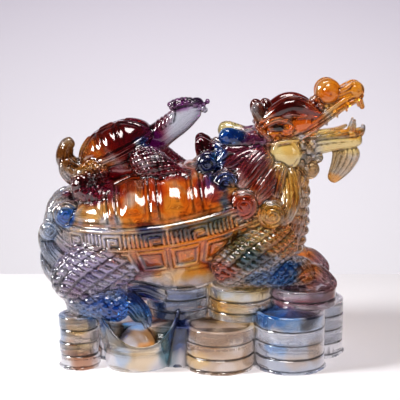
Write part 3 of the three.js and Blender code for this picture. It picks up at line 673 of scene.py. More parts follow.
# corner of the mouth and throat
for x, y, z, r in [
    (57.6, 12.6, 128.4, 2.6), (60.6, 11.6, 125.4, 2.8), (57.4, 13.0, 123.2, 2.5), (60.2, 12.2, 120.4, 2.6),
    (56.6, 13.4, 118.0, 2.4), (63.6, 10.4, 128.6, 2.4), (59.4, 12.4, 115.6, 2.4), (63.4, 10.6, 122.6, 2.3),
]:
    ball((x, y, z), (r, r * 0.9, r * 1.1), step=0.6)
scroll((62.4, 9.4, 113.2), 5.0, 3.4, 160, gap=1.9, depth=0.9)
limb([[70, 4, 120.5, 2.6, 2.4], [66, 6, 119.5, 3.0, 2.8], [60, 9, 117, 2.6, 2.6]], strands(2.2, 0.6),
     step=0.7)
# beard: a broad blade that narrows downwards
limb([[84.5, 0, 127, 5.6, 8.0], [84.5, 0, 121, 4.6, 7.6], [82.0, 0, 114.5, 3.6, 6.0],
      [78.2, 0, 108.5, 2.4, 3.8], [75.2, 0, 105.0, 1.2, 1.8]], strands(3.0, 0.9), step=0.7, both=False)
print("head done")

# Mane
hair = dict(gap=2.0, line=1.0)


def lock(stations, both=True, gap=None):
    limb(stations, strands(gap or hair["gap"], hair["line"], 0.8), step=0.65, both=both)


limb([[38, 0, 131, 9, 9], [24, 0, 124, 10, 10], [10, 0, 118, 10, 9], [-2, 0, 112, 8, 7],
      [-8, 0, 109, 5, 4]], strands(2.6, 1.1), step=0.8, both=False)
# maroon bud at the end of the ridge
limb([[8, 6, 118, 4.5, 4.5], [2, 8.5, 123.5, 5.0, 5.8], [-1.5, 9, 129.5, 3.6, 3.8],
      [-2.6, 9, 133, 1.0, 1.0]], strands(4.5, 0.8), step=0.7)
# the straight pale bar
limb([[17.5, 16, 131, 2.0, 2.0], [12.5, 18.4, 124.5, 2.3, 2.3], [7.5, 18, 117.5, 1.9, 1.9]], step=0.7)
lock([[30, 12, 124, 4, 5], [19, 14, 121.5, 4, 5.5], [10, 14.5, 122.0, 3.6, 4.6], [5, 14.5, 123, 2.6, 2.8]])
scroll((2.1, 15.6, 118.2), 6.7, 5.0, 60)
lock([[36, 13, 125, 4, 5], [25, 17.6, 121.5, 4, 6.4], [16.5, 19.8, 117, 3.6, 5.4],
      [8.5, 20, 114.5, 2.6, 3.0]])
scroll((12.0, 24.6, 108.4), 7.6, 5.4, 60)
lock([[37, 14.5, 124, 4.4, 6.4], [31.5, 19.2, 118.5, 4.6, 8.6], [25.5, 23.5, 111, 4.2, 8.0],
      [19.5, 26, 104, 2.8, 4.0]])
lock([[41, 17, 116, 4, 5.4], [35.5, 22, 108.5, 4.4, 7.6], [30.0, 27, 101.5, 4, 6.0],
      [28, 29.8, 95.5, 2.6, 3.0]])
scroll((22.4, 31.0, 96.6), 8.0, 5.4, 40)
lock([[48, 14.5, 114, 3.6, 4.6], [49.4, 19.5, 106, 4.2, 5.6], [49.4, 24, 98, 4.2, 5.4],
      [47.0, 27.4, 90.5, 3.6, 4.4], [42, 28.4, 84.0, 2.6, 2.8]])
scroll((38.6, 29.0, 90.6), 7.6, 5.2, 330)
for k in range(6):
    a = math.radians(150 + 17 * k)
    x, z = 38.6 + 6.8 * math.cos(a), 90.6 + 6.8 * math.sin(a)
    limb([[x, 29, z, 2.0, 1.1], [x - 4.4, 29.6, z + 1.4 - 0.9 * k, 1.5, 1.1],
          [x - 7.5, 29, z + 3.6 - 1.6 * k, 0.7, 0.6]], step=0.6)
# small locks that fill between
lock([[26, 16, 127, 3, 3.4], [18, 17.5, 126, 2.8, 3.2], [12, 17.5, 127.5, 1.6, 1.6]])
lock([[20, 9, 127, 4, 4], [10, 10, 126.0, 3.4, 3.6], [5, 10, 129, 1.5, 1.5]])
lock([[22, 20, 103, 3, 4], [14, 21.5, 99.5, 3, 3.6], [6, 21, 99.0, 2.4, 2.6], [1, 20, 101.5, 1.0, 1.0]])
lock([[16, 22, 92, 3, 4], [10, 23, 90.5, 2.6, 3.0], [5, 22, 92.5, 1.4, 1.4]])
lock([[32, 25, 84, 3, 4], [26, 26.5, 84.5, 2.8, 3.2], [20.5, 26.5, 86, 1.6, 1.6]])
lock([[45, 17, 118, 3, 4], [43, 20, 112, 3.2, 4.4], [41.5, 22.5, 104, 3, 4], [40.5, 24, 98, 2, 2.2]])
for x, y, z in [
    (50, 15, 113.6), (53.4, 13.4, 110.6), (49, 17, 109),
    (53.2, 14.2, 105.8), (45.8, 18.6, 110), (56, 11.5, 107),
]:
    ball((x, y, z), (2.7, 3.0, 3.0), spiral(1.2, 40, 0.7), step=0.6)
print("mane done")

# Tail
limb([[-60, 0, 54, 14, 12], [-78, 0, 60, 13, 12], [-87.5, 0, 74, 10, 8.6], [-86.5, 0, 88, 7, 6.6],
      [-79.5, 0, 97, 3.6, 4.2], [-75, 0, 100.5, 1.4, 1.6]], strands(2.2, 1.1, 2.0), step=0.8, both=False)
lock([[-66, 12, 60, 5, 6], [-76, 14, 68, 4.4, 6.5], [-85, 13.6, 76, 3.6, 5], [-89.0, 12, 85, 3.0, 4.0],
      [-86, 10, 94, 2.4, 3.4], [-78.6, 8, 99.4, 1.4, 2.0]])
scroll((-80.2, 17.5, 88.8), 7.6, 5.0, 200, hand=-1, gap=2.0)
lock([[-70, 14, 50, 5, 5], [-81, 14, 55, 4.2, 5.5], [-91, 12, 64, 3.2, 4.2], [-94.4, 11, 74, 2.6, 3.4],
      [-92, 10, 83, 1.6, 2.0]])
scroll((-91.2, 14.6, 78.4), 5.4, 4.6, 200, hand=-1, gap=1.9)
lock([[-76, 9, 72, 4, 5], [-88, 9, 84, 3, 4], [-88.5, 7, 93, 2.4, 3.2], [-82, 5, 100, 1.2, 1.4]])
lock([[-82, 15, 46, 4, 4], [-91.5, 13, 53, 3, 3.4], [-94.9, 10, 61, 1.8, 2.2], [-94.9, 9, 67, 0.9, 1.0]])
lock([[-84, 5, 50, 4, 4], [-92.5, 5, 58, 3.4, 3.6], [-95.4, 4, 68, 1.8, 2.2], [-95.2, 3, 76, 0.9, 1.0]])
print("tail done")

# Tortoise
limb([[-34, 0, 127, 9, 9], [-23, 0, 135.0, 7.2, 8.0], [-15.5, 0, 140.8, 6.4, 7.9],
      [-9.2, 0, 146.2, 6.2, 7.3], [-3.8, 0, 149.8, 5.4, 5.6], [0.4, 0, 150.4, 3.8, 4.0]], step=0.8,
     both=False)
for k in range(5):
    x, z = -27.5 + 2.3 * k, 140.0 + 1.6 * k
    limb([[x - 1.2, 6.6, z - 5.5, 0.9, 0.9], [x, 4.4, z - 0.6, 1.2, 1.2],
          [x + 0.4, 0.6, z + 1.4, 1.2, 1.2]], step=0.6, side=(1, 0, 0))
# crown of knobs, eyes, beak and nostrils
for k in range(9):
    t = k / 8
    x, z = -20 + 18.5 * t, 148.6 + 5.0 * math.sin(math.pi * (0.15 + 0.72 * t))
    ball((x, 1.6 + 1.1 * (k % 2), z), (1.9 + 0.3 * (k % 3), 2.2, 1.7), step=0.6)
    ball((x + 1, 4.4 - 0.6 * (k % 2), z - 1.6), (1.7, 1.7, 1.4), step=0.6)
ball((-4.8, 4.9, 151.6), (2.0, 1.5, 1.8), step=0.5)
limb([[-8, 4.8, 151.6, 0.6, 0.6], [-5.2, 5.6, 153.6, 0.9, 0.8], [-2.4, 4.8, 152.6, 0.6, 0.6]], step=0.5)
limb([[-10, 5.6, 147.0, 0.6, 0.6], [-4, 5.3, 148.6, 0.8, 0.7], [1.2, 3.4, 149.8, 0.8, 0.7]], step=0.5)
ball((2.0, 1.6, 152.6), (1.5, 1.5, 1.5), step=0.5)
limb([[-1, 0, 146.8, 3, 2], [2.2, 0, 148.4, 2.2, 1.4]], step=0.6, both=False)
ball((-46, 0, 114), (22, 14, 9), both=False)
limb([[-58, 11, 116, 6, 7], [-68, 17.5, 109.5, 7, 8], [-68.5, 20.5, 102.5, 6.4, 6.6],
      [-57, 22, 99.6, 5.2, 4.6], [-48, 22, 100.2, 4.2, 3.2]], knobs(2.5, 1.3, 0.5), step=0.7)
limb([[-42, 11, 123, 7, 7], [-32, 16, 119, 6.4, 8.4], [-24, 18.5, 114.4, 5.8, 7.6],
      [-14, 19, 110.4, 4.6, 4.6], [-8, 18.5, 109.4, 3.6, 3.0]], scales(2.8, 1.3, 0.4), step=0.65)
for x, y, z in [(-45.5, 25, 99.2), (-44, 22, 99.6), (-45.5, 19, 99.8)]:
    limb([[x - 5, y, z + 1.6, 2.0, 2.0], [x, y, z + 0.6, 1.7, 1.7], [x + 3.2, y, z - 1.0, 0.6, 0.6]],
         strands(1.8, 0.6), step=0.5)
for x, y, z in [(-8.5, 21.8, 109.4), (-6.6, 18.6, 109.8), (-8.5, 15.4, 110)]:
    limb([[x - 6, y, z + 2.4, 2.2, 2.2], [x, y, z + 1.2, 2.0, 2.0], [x + 4.2, y, z - 1.6, 0.6, 0.6]],
         strands(1.8, 0.6), step=0.5)
lock([[-64, 0, 113, 5, 5], [-75, 0, 112, 4.6, 5.4], [-82.5, 0, 118, 4.0, 4.8], [-81.5, 0, 126.5, 3.4, 3.6],
      [-77, 0, 129, 2.0, 2.2]], both=False)
lock([[-66, 4, 110, 4, 4.4], [-76, 5, 107.5, 3.6, 4.2], [-82.5, 4, 113, 2.8, 3.2], [-81, 3, 119, 1.4, 1.4]])
# rough ground where the tortoise is fused to the shell below
for i in range(30):
    x = -68 + 2.2 * i
    y = 16.5 + 2.6 * math.sin(2.4 * i) - 0.003 * (x + 38) ** 2
    z = 100.4 + 0.105 * (x + 60) + 0.8 * math.sin(1.7 * i)
    limb([[x - 3, y - 3, z + 1.5, 2.2, 2.0], [x, y + 0.5, z, 2.4, 2.2],
          [x + 2.6, y + 3.4, z - 1.6, 1.2, 1.2]], strands(1.9, 0.6), step=0.8)
print("tortoise done")

# Melt everything into one skin
melt = dict(
    cell=0.5,  # of the grid that melts the forms together
    smooth=0.4,
    passes=2,
    wave=0.12,  # unevenness of hand-finished glass
    triangles=950000,
    pieces=("tailGlass", "rearGlass", "middleGlass", "chestGlass", "headGlass"),  # along X
)


def joined(name):
    points, faces, start = [], [], 0
    for p, quads, caps in solids:
        points.append(p)
        faces += (quads + start).tolist() + (caps + start).tolist()
        start += len(p)
    points = np.vstack(points)
    points = points + melt["wave"] * wobble(points, 5.0)[:, None] * [0.6, 0.6, 1] * (points[:, 2:3] > 2)
    mesh = bpy.data.meshes.new(name)
    mesh.from_pydata((points * mm).tolist(), [], faces)
    mesh.update()
    obj = bpy.data.objects.new(name, mesh)
    bpy.context.scene.collection.objects.link(obj)
    return obj


def applied(obj, kind, **settings):
    modifier = obj.modifiers.new(kind.lower(), kind)
    for key, value in settings.items():
        setattr(modifier, key, value)
    mesh = bpy.data.meshes.new_from_object(obj.evaluated_get(bpy.context.evaluated_depsgraph_get()))
    obj.modifiers.clear()
    old = obj.data
    obj.data = mesh
    bpy.data.meshes.remove(old)


def triangleCount(obj):
    sides = np.zeros(len(obj.data.polygons), int)
    obj.data.polygons.foreach_get("loop_total", sides)
    return int((sides - 2).sum())


glass = joined("allGlass")
print("forms:", len(solids), "triangles:", triangleCount(glass))
applied(glass, "REMESH", mode="VOXEL", voxel_size=melt["cell"] * mm)
print("melted:", triangleCount(glass))
applied(glass, "SMOOTH", factor=melt["smooth"], iterations=melt["passes"])
full = triangleCount(glass)
if full > melt["triangles"]:
    applied(glass, "DECIMATE", ratio=melt["triangles"] / full, use_collapse_triangulate=True)
print("thinned to:", triangleCount(glass))

# Colours that run through the glass
tint = dict(
    clear=(0.84, 0.85, 0.88),
    white=(0.95, 0.96, 0.99),
    cream=(0.90, 0.78, 0.58),
    stone=(0.76, 0.66, 0.56),
    sky=(0.45, 0.66, 0.92),
    bark=(0.52, 0.34, 0.17),
    ink=(0.10, 0.11, 0.16),
    grey=(0.55, 0.62, 0.72),
    amber=(0.97, 0.68, 0.24),
    orange=(0.94, 0.51, 0.13),
    gold=(0.94, 0.74, 0.34),
    pale=(0.98, 0.90, 0.64),
    red=(0.70, 0.22, 0.10),
    darkRed=(0.48, 0.11, 0.06),
    mulberry=(0.46, 0.15, 0.24),
    maroon=(0.42, 0.06, 0.14),
    purple=(0.42, 0.12, 0.40),
    lilac=(0.74, 0.69, 0.84),
    mauve=(0.68, 0.50, 0.55),
    blue=(0.10, 0.41, 0.79),
    navy=(0.06, 0.13, 0.36),
    teal=(0.10, 0.28, 0.34),
    olive=(0.42, 0.36, 0.16),
    brown=(0.58, 0.28, 0.12),
)
pools = [  # colour, x, y, z, reach in x, y and z, strength
    ("clear", 0, 0, 20, 120, 80, 30, 1.0),
    ("amber", -20, 0, 80, 90, 60, 34, 0.9),
    ("stone", -73, 0, 20, 11, 200, 20, 0.9),
    ("gold", -72, 0, 24, 7, 200, 4, 0.6),
    ("gold", -71, 0, 12, 6, 200, 4, 0.5),
    ("sky", -86, 0, 24, 7, 200, 18, 0.6),
    ("brown", -70, 0, 4, 9, 200, 8, 0.8),
    ("bark", -66, 0, 30, 6, 200, 4, 0.6),
    ("stone", 9, 0, 8, 26, 200, 14, 1.0),
    ("bark", 0, 0, 14, 16, 200, 4, 0.5),
    ("bark", 6, 0, 22, 24, 200, 6, 0.6),
    ("gold", -4, 0, 7, 10, 200, 6, 0.5),
    ("white", 12, 0, 4, 7, 200, 4, 0.5),
    ("bark", 26, 0, 9, 5, 200, 10, 0.5),
    ("grey", 48, 0, 10, 24, 200, 14, 0.6),
    ("sky", 42, -40, 15, 9, 20, 4, 0.8),
    ("stone", 54, -40, 8, 9, 20, 6, 0.7),
    ("white", 44, -30, 23, 18, 40, 5, 0.9),
    ("bark", 64, -32, 14, 6, 30, 10, 0.6),
    ("blue", 42, -34, 31, 22, 26, 7, 1.0),
    ("sky", 52, -44, 31, 6, 10, 4, 0.7),
    # painted shade: this dark patch sits on the right side of the top blue coin, the side turned away from
    # the light
    ("ink", 60, -38, 31, 7, 22, 6, 1.0),
    ("gold", 22, -16, 36, 22, 24, 18, 0.9),
    ("amber", 8, -22, 36, 7, 20, 7, 0.8),
    ("olive", 24, -20, 46, 17, 20, 4, 0.5),
    ("mauve", 60, -22, 40, 24, 24, 9, 0.9),
    ("maroon", 62, -28, 41, 18, 20, 2.4, 0.7),
    ("red", 76, -22, 44, 8, 20, 4, 0.6),
    ("grey", -14, -20, 34, 20, 24, 12, 0.7),
    ("bark", -38, -28, 20, 20, 14, 8, 1.0),
    ("cream", -38, -47, 10, 24, 9, 15, 0.9),
    ("sky", -48, -46, 9, 6, 12, 9, 0.6),
    ("teal", -20, -38, 14, 8, 22, 18, 0.9),
    ("navy", -14, -34, 22, 7, 20, 16, 0.9),
    ("brown", -32, -16, 27, 17, 9, 12, 0.95),
    ("ink", -46, -30, 19, 10, 9, 7, 0.9),
    ("orange", -34, -37, 14, 8, 4, 3, 0.8),
    ("sky", -38, -30, 25, 9, 8, 4, 0.9),
    ("blue", -70, 0, 34, 20, 30, 7, 0.4),
    ("blue", -52, -36, 37, 28, 16, 13, 1.0),
    ("navy", -34, -34, 44, 15, 14, 8, 0.85),
    ("sky", -62, -40, 36, 8, 10, 7, 0.7),
    ("teal", -38, -44, 32, 9, 9, 5, 0.7),
    ("lilac", -64, -28, 58, 27, 26, 24, 0.85),
    ("lilac", -64, 28, 58, 27, 26, 24, 0.8),
    ("mauve", -72, -34, 48, 12, 12, 10, 0.6),
    ("ink", -85, -30, 52, 8, 14, 10, 0.45),
    ("orange", -18, -38, 74, 36, 20, 12, 0.85),
    ("maroon", -34, -40, 62, 8, 16, 7, 0.7),
    ("stone", -58, -34, 76, 16, 20, 7, 0.7),
    ("amber", -4, -36, 60, 14, 20, 9, 0.8),
    ("navy", -30, -46, 84, 10, 12, 6, 0.9),
    ("ink", -12, -47, 85, 9, 10, 6, 0.85),
    ("teal", 4, -44, 90, 12, 12, 7, 0.8),
    ("white", -58, -40, 80, 12, 16, 6, 0.8),
    ("orange", -24, -4, 100, 66, 60, 18, 1.0),
    ("red", -46, -14, 108, 26, 30, 10, 0.8),
    ("amber", -62, -26, 95, 14, 26, 9, 0.8),
    ("red", -26, -34, 104, 6, 16, 12, 0.8),
    ("gold", -18, -38, 98, 6, 12, 8, 0.7),
    ("white", -42, -36, 101, 5, 10, 6, 0.8),
    ("purple", 4, -18, 105, 13, 26, 10, 0.9),
    ("blue", 12, -30, 97, 5, 14, 9, 0.8),
    ("red", 10, -36, 60, 12, 14, 8, 0.9),
    ("olive", 22, -38, 72, 14, 16, 11, 0.9),
    ("teal", 26, -40, 66, 8, 10, 6, 0.8),
    ("ink", 35, -38, 66, 6, 10, 5, 0.7),
    ("orange", 44, -28, 76, 15, 18, 13, 0.9),
    ("amber", 32, -36, 80, 9, 10, 6, 0.8),
    ("blue", 47, -28, 55, 13, 18, 9, 1.0),
    ("blue", 32, -36, 54, 9, 10, 6, 0.6),
    ("orange", 62, -20, 54, 13, 20, 7, 0.8),
    ("mauve", 72, -22, 52, 9, 20, 8, 0.7),
    ("cream", 58, 0, 90, 18, 26, 28, 0.8),
    ("brown", 50, -8, 76, 12, 20, 13, 0.6),
    ("amber", 54, -12, 108, 10, 14, 9, 0.6),
    ("clear", -84, 0, 78, 22, 28, 36, 0.8),
    ("lilac", -78, 0, 66, 14, 28, 12, 0.7),
    ("blue", -79, -18, 87, 9, 10, 8, 1.0),
    ("sky", -90, -14, 78, 7, 9, 8, 0.6),
    ("ink", -76, -16, 97, 7, 12, 4, 0.5),
    ("bark", -84, 0, 60, 12, 24, 7, 0.4),
    ("grey", -92, -12, 64, 8, 14, 12, 0.7),
    ("amber", -68, 0, 120, 20, 34, 18, 1.0),
    ("darkRed", -50, 0, 130, 23, 34, 20, 1.0),
    ("orange", -62, -12, 126, 7, 12, 8, 0.8),
    ("maroon", -36, -6, 132, 16, 30, 17, 1.0),
    ("purple", -31, -10, 130, 8, 16, 10, 0.9),
    ("blue", -37, -14, 130, 6, 6, 5, 0.8),
    ("maroon", -58, -18, 104, 28, 20, 12, 1.0),
    ("maroon", -22, -18, 115, 20, 18, 10, 1.0),
    ("brown", -40, -18, 106, 16, 18, 6, 0.8),
    ("bark", -78, 0, 118, 11, 16, 16, 0.9),
    ("maroon", -22, 0, 142, 12, 14, 9, 0.8),
    ("clear", -15, -3, 139.5, 11, 12, 9, 1.0),
    ("purple", -11, 0, 154, 17, 14, 7, 1.0),
    ("ink", -5, -5, 155, 7, 8, 4, 0.7),
    ("mulberry", 24, -14, 122, 26, 24, 17, 0.95),
    ("darkRed", 36, -20, 107, 14, 18, 14, 0.95),
    ("maroon", -1, -9, 128, 9, 14, 9, 1.0),
    ("navy", 2, -16, 118, 9, 12, 9, 0.9),
    ("blue", 9, -18, 123, 5, 9, 9, 0.8),
    ("navy", 12, -25, 109, 10, 14, 9, 1.0),
    ("amber", 16, -30, 106, 4, 6, 4, 0.7),
    ("red", 22, -32, 97, 11, 14, 10, 1.0),
    ("gold", 39, -30, 90, 11, 15, 10, 1.0),
    ("gold", 49, -22, 103, 8, 16, 15, 1.0),
    ("blue", 13, -17, 135, 12, 12, 8, 1.0),
    ("sky", 8, -19, 139, 7, 8, 4, 0.7),
    ("pale", 14, 17, 136, 15, 10, 10, 0.95),
    ("purple", 31, -14, 134, 8, 14, 8, 0.6),
    ("bark", 34, 0, 148, 8, 20, 9, 1.0),
    ("pale", 46, -16, 122, 12, 15, 12, 1.0),
    ("gold", 50, -16, 127, 8, 10, 7, 0.7),
    ("orange", 41, -14, 139, 13, 13, 8, 1.0),
    ("ink", 42.5, -17, 139.4, 5, 5, 2.6, 1.0),
    ("orange", 58, -10, 142, 13, 16, 9, 0.95),
    ("amber", 61, 0, 130, 9, 18, 9, 0.8),
    ("amber", 80, 0, 158, 23, 20, 17, 1.0),
    ("orange", 72, 0, 157, 9, 14, 7, 0.8),
    ("amber", 84, 0, 151, 12, 14, 6, 0.7),
    ("darkRed", 48, -9, 151, 22, 15, 9, 1.0),
    ("darkRed", 48, 9, 151, 22, 15, 9, 1.0),
    ("pale", 80, 0, 129, 22, 18, 12, 1.0),
    ("amber", 86, 0, 134, 14, 14, 4, 0.8),
    ("amber", 76, 0, 106, 8, 12, 6, 0.8),
    ("cream", 82, 0, 117, 12, 12, 9, 0.8),
    ("cream", 61, -8, 114, 9, 13, 8, 0.8),
]

inkAndShadeShare = dict(coinJoint=0.85, scute=0.75, smallScute=0.7, meander=0.7, ingotRim=0.85, ingotHollowShade=0.75)
glassLook = dict(
    depth=1.15,  # above 1 the colours are deeper than the tints
    groove=0.8,  # painted shade: how much deeper the colours get in the grooves
    shade=0.9,  # painted shade: and how much darker they get there
    netRed=(0.25, 0.5, 0.5),
    roughness=0.12,
    ior=1.5,
    clearness=0.84,
    gloss=1.0,
    glossRoughness=0.02,
)


def cavity(obj, p):
    # how far each vertex lies below its neighbours, 0 to 1
    mesh = obj.data
    edges = np.empty(len(mesh.edges) * 2, int)
    mesh.edges.foreach_get("vertices", edges)
    a, b = edges.reshape(-1, 2).T
    normal = np.empty(len(p) * 3)
    mesh.vertices.foreach_get("normal", normal)
    normal = normal.reshape(-1, 3)
    count = np.bincount(a, minlength=len(p)) + np.bincount(b, minlength=len(p)) + 1e-9

    def spread(values):
        return (np.bincount(a, values[b], len(p)) + np.bincount(b, values[a], len(p))) / count

    middle = np.stack([spread(p[:, i]) for i in range(3)], 1)
    gap = np.einsum("ij,ij->i", middle - p, normal)
    for _ in range(3):
        gap = 0.5 * gap + 0.5 * spread(gap)
    return np.clip(gap / 0.03, 0, 1)


def inShell(p, shell):
    # from the figure's frame back to the shell's own
    a = math.radians(shell["pitch"])
    x, y, z = (p - shell["centre"]).T
    x, z = x * math.cos(a) + z * math.sin(a), z * math.cos(a) - x * math.sin(a)
    r = np.hypot(x / shell["halfLength"], y / shell["halfWidth"])
    return x, y, z + shell["dip"] * r**2 * (y / shell["halfWidth"]) ** 2, r


def near(value, middle, half):
    # 1 at the middle of a line, 0 beside it
    return 1 - blend(0.6 * half, 1.2 * half, np.abs(value - middle))


def inkAndShade(p):
    # thin dark lines along the coin joints, between the scutes and just under the ingot rim, a reddish net
    # on the domes, and painted shade in the sunken field of the key band and in the hollow of the ingot: 0
    # leaves the tint as it is
    dark = np.zeros(len(p))
    for x, y, kind, thick, coinsInStack, bottom in stackList:
        off = np.abs(np.hypot(p[:, 0] - x, p[:, 1] - y) - coins[kind] + 1.2)
        for i in range(1, coinsInStack):
            joint = near(p[:, 2], bottom + i * thick, 0.6) * (off < 1.6)
            dark = np.maximum(dark, inkAndShadeShare["coinJoint"] * joint)
    red = np.zeros((len(p), 3))
    for shell, lines, kind in ((dragonShell, netLines, "scute"), (tortoiseShell, smallNet, "smallScute")):
        x, y, z, r = inShell(p, shell)
        foot = domeHeight(1, shell)
        edge, _ = scuteEdge(x, y, shell)
        edge = np.minimum(edge, 1.5 * (z - foot) + 0.2 * lines["net"])
        onDome = blend(-0.5, 0.5, z - foot) * (r < 1) * (z < domeHeight(r / 0.983, shell) + 3)
        line = near(edge, 0.5 * (lines["net"] + lines["ridge"]), 0.5 * lines["net"])
        dark = np.maximum(dark, inkAndShadeShare[kind] * line * onDome)
        net = onDome * (1 - blend(0.8, 1.1, edge / lines["net"]))
        red = np.maximum(red, net[:, None] * glassLook["netRed"])
    # painted shade: the sunken field between the raised bars of the key band is darkened, the raised bars
    # are not
    x, y, z, r = inShell(p, dragonShell)
    out = (r - 1.004) * dragonShell["halfWidth"]
    inBand = blend(0, 0.8, z) * (1 - blend(-1.6, -0.8, z - dragonShell["band"])) * (r > 0.99) * (r < 1.05)
    dark = np.maximum(dark, inkAndShadeShare["meander"] * inBand * (1 - blend(0.15, 0.75, out)))
    # a dark line under the rim of the ingot, and painted shade over its hollow
    a = math.radians(ingot["turn"])
    x, y = p[:, 0] - ingot["x"], p[:, 1] - ingot["y"]
    x, y = (x * math.cos(a) + y * math.sin(a)) * 2, (y * math.cos(a) - x * math.sin(a)) * 2
    x, y = x / ingot["length"], y / ingot["width"]
    r = np.hypot(x, y)
    rim = ingot["side"] + (ingot["tip"] - ingot["side"]) * np.abs(x / np.maximum(r, 0.01)) ** ingot["curve"]
    dark = np.maximum(dark, inkAndShadeShare["ingotRim"] * near(p[:, 2], rim - 1.3, 0.8) * (np.abs(r - 0.95) < 0.08))
    # painted shade: the hollow between the egg and the rim is darkened
    shadedHollow = (r > ingot["egg"]) * (r < 0.9) * (p[:, 2] > 11) * (p[:, 2] < rim - 1)
    dark = np.maximum(dark, inkAndShadeShare["ingotHollowShade"] * shadedHollow)
    return np.maximum(dark[:, None], red)


def paint(obj):
    count = len(obj.data.vertices)
    p = np.empty(count * 3)
    obj.data.vertices.foreach_get("co", p)
    p = p.reshape(-1, 3) / mm
    drift = wobble(p, 7.0, 1.0) * 0.22 + wobble(p, 2.6, 2.0) * 0.14
    colour = np.tile(np.array(tint["clear"]), (count, 1))
    nearSide = p * [1, 0, 1] - np.abs(p) * [0, 1, 0]
    for name, x, y, z, rx, ry, rz, strength in pools:
        # a pool on the near side, y below 0, has a twin on the far side
        spot = p if y > 0 else nearSide
        away = np.sqrt((((spot - [x, y, z]) / [rx, ry, rz]) ** 2).sum(1)) + drift
        share = strength * (1 - blend(0.55, 1.1, away))
        colour += share[:, None] * (np.array(tint[name]) - colour)
    colour = np.clip(colour, 0, 1) ** 2.2
    # painted shade: the colours are made deeper and darker down in the grooves, less so on the far side,
    # which shows through
    shadedHollow = cavity(obj, p)[:, None]
    shadedHollow *= 1 - 0.5 * blend(-5, 5, p[:, 1])[:, None]
    look = glassLook
    colour = colour ** (look["depth"] + look["groove"] * shadedHollow) * (1 - look["shade"] * shadedHollow)
    return np.hstack([colour * (1 - inkAndShade(p)), np.ones((count, 1))])


def glassMaterial():
    material = bpy.data.materials.new("castGlass")
    material.use_nodes = True
    nodes, links = material.node_tree.nodes, material.node_tree.links
    shader = nodes["Principled BSDF"]
    shader.inputs["Roughness"].default_value = glassLook["roughness"]
    shader.inputs["IOR"].default_value = glassLook["ior"]
    shader.inputs["Transmission Weight"].default_value = glassLook["clearness"]
    shader.inputs["Coat Weight"].default_value = glassLook["gloss"]
    shader.inputs["Coat Roughness"].default_value = glassLook["glossRoughness"]
    colour = nodes.new("ShaderNodeVertexColor")
    colour.layer_name = "glassColour"
    links.new(colour.outputs["Color"], shader.inputs["Base Color"])
    return material


def inOneSkin(corners, count):
    # melting and thinning leave a few specks inside the glass: True for the faces of the skin itself
    label = np.arange(count)
    a, b = corners.ravel(), np.roll(corners, 1, axis=1).ravel()
    while True:
        least = label.copy()
        np.minimum.at(least, label[a], label[b])
        np.minimum.at(least, label[b], label[a])
        least = least[least]
        if (least == label).all():
            return label[corners[:, 0]] == np.bincount(label).argmax()
        label = least


def cutUp(obj, colour, material):
    # the one closed skin, shared out along X into pieces of the same number of triangles
    mesh = obj.data
    points, normals = np.empty(len(mesh.vertices) * 3), np.empty(len(mesh.vertices) * 3)
    mesh.vertices.foreach_get("co", points)
    mesh.vertices.foreach_get("normal", normals)
    points, normals = points.reshape(-1, 3), normals.reshape(-1, 3)
    corners = np.empty(len(mesh.loops), int)
    mesh.loops.foreach_get("vertex_index", corners)
    corners = corners.reshape(-1, 3)
    corners = corners[inOneSkin(corners, len(points))]
    print("faces of the skin:", len(corners))
    order = np.argsort(points[corners, 0].mean(1), kind="stable")
    for name, share in zip(melt["pieces"], np.array_split(order, len(melt["pieces"]))):
        used, faces = np.unique(corners[share], return_inverse=True)
        part = bpy.data.meshes.new(name)
        part.from_pydata(points[used].tolist(), [], faces.reshape(-1, 3).tolist())
        part.polygons.foreach_set("use_smooth", [True] * len(part.polygons))
        layer = part.color_attributes.new("glassColour", "FLOAT_COLOR", "POINT")
        layer.data.foreach_set("color", colour[used].ravel())
        part.normals_split_custom_set_from_vertices(normals[used].tolist())
        part.materials.append(material)
        piece = bpy.data.objects.new(name, part)
        bpy.context.scene.collection.objects.link(piece)
        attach(piece, "root")
        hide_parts("dragon_turtle")
    bpy.data.objects.remove(obj)
    bpy.data.meshes.remove(mesh)


cutUp(glass, paint(glass), glassMaterial())
print("glass done")


# Stage, light and camera
stage = dict(
    floor=(0.96, 0.95, 0.97),
    wallLow=(0.98, 0.95, 1.0),
    wallTopShade=(0.45, 0.42, 0.475),
    wallRange=(-0.24, 0.2),  # heights between which the wall darkens upwards, painted shade, in metres
    edge=0.18,  # how far behind the figure the table ends, in metres
    back=1.1,  # and where the wall stands
    world=(0.90, 0.88, 0.95),
    worldPower=0.06,
    exposure=-0.3,
)
# each light: where it stands, what it points at, its size and power, and its tone
lights = dict(
    key=((-1.1, -0.31, 0.68), (0, 0, 0.08), (0.31, 0.46), 21.0, (1, 1, 1)),
    top=((-0.05, -0.15, 0.8), (0, 0.04, 0), (0.4, 0.25), 4.2, (1.0, 0.93, 0.91)),
    fill=((0.7, -0.6, 0.3), (0, 0, 0.08), (0.12, 0.5), 0.6, (1, 1, 1)),
    wall=((0, 0.3, 0.55), (0, 1.1, -0.3), (1.4, 0.3), 17.0, (1, 1, 1)),
)
view = dict(lens=100, sensor=36, elevation=11, target=(-2.4, 0, 93.4), distance=667)  # degrees and mm


def plain(name):
    material = bpy.data.materials.new(name)
    material.use_nodes = True
    shader = material.node_tree.nodes["Principled BSDF"]
    shader.inputs["Roughness"].default_value = 0.9
    shader.inputs["Specular IOR Level"].default_value = 0.1
    return material, shader


def surface(name, line, halfWidth, material):
    points = [(x, y, z) for y, z in line for x in (-halfWidth, halfWidth)]
    faces = [(2 * i, 2 * i + 1, 2 * i + 3, 2 * i + 2) for i in range(len(line) - 1)]
    mesh = bpy.data.meshes.new(name)
    mesh.from_pydata(points, [], faces)
    mesh.materials.append(material)
    mesh.polygons.foreach_set("use_smooth", [True] * len(faces))
    obj = bpy.data.objects.new(name, mesh)
    bpy.context.scene.collection.objects.link(obj)
    return obj


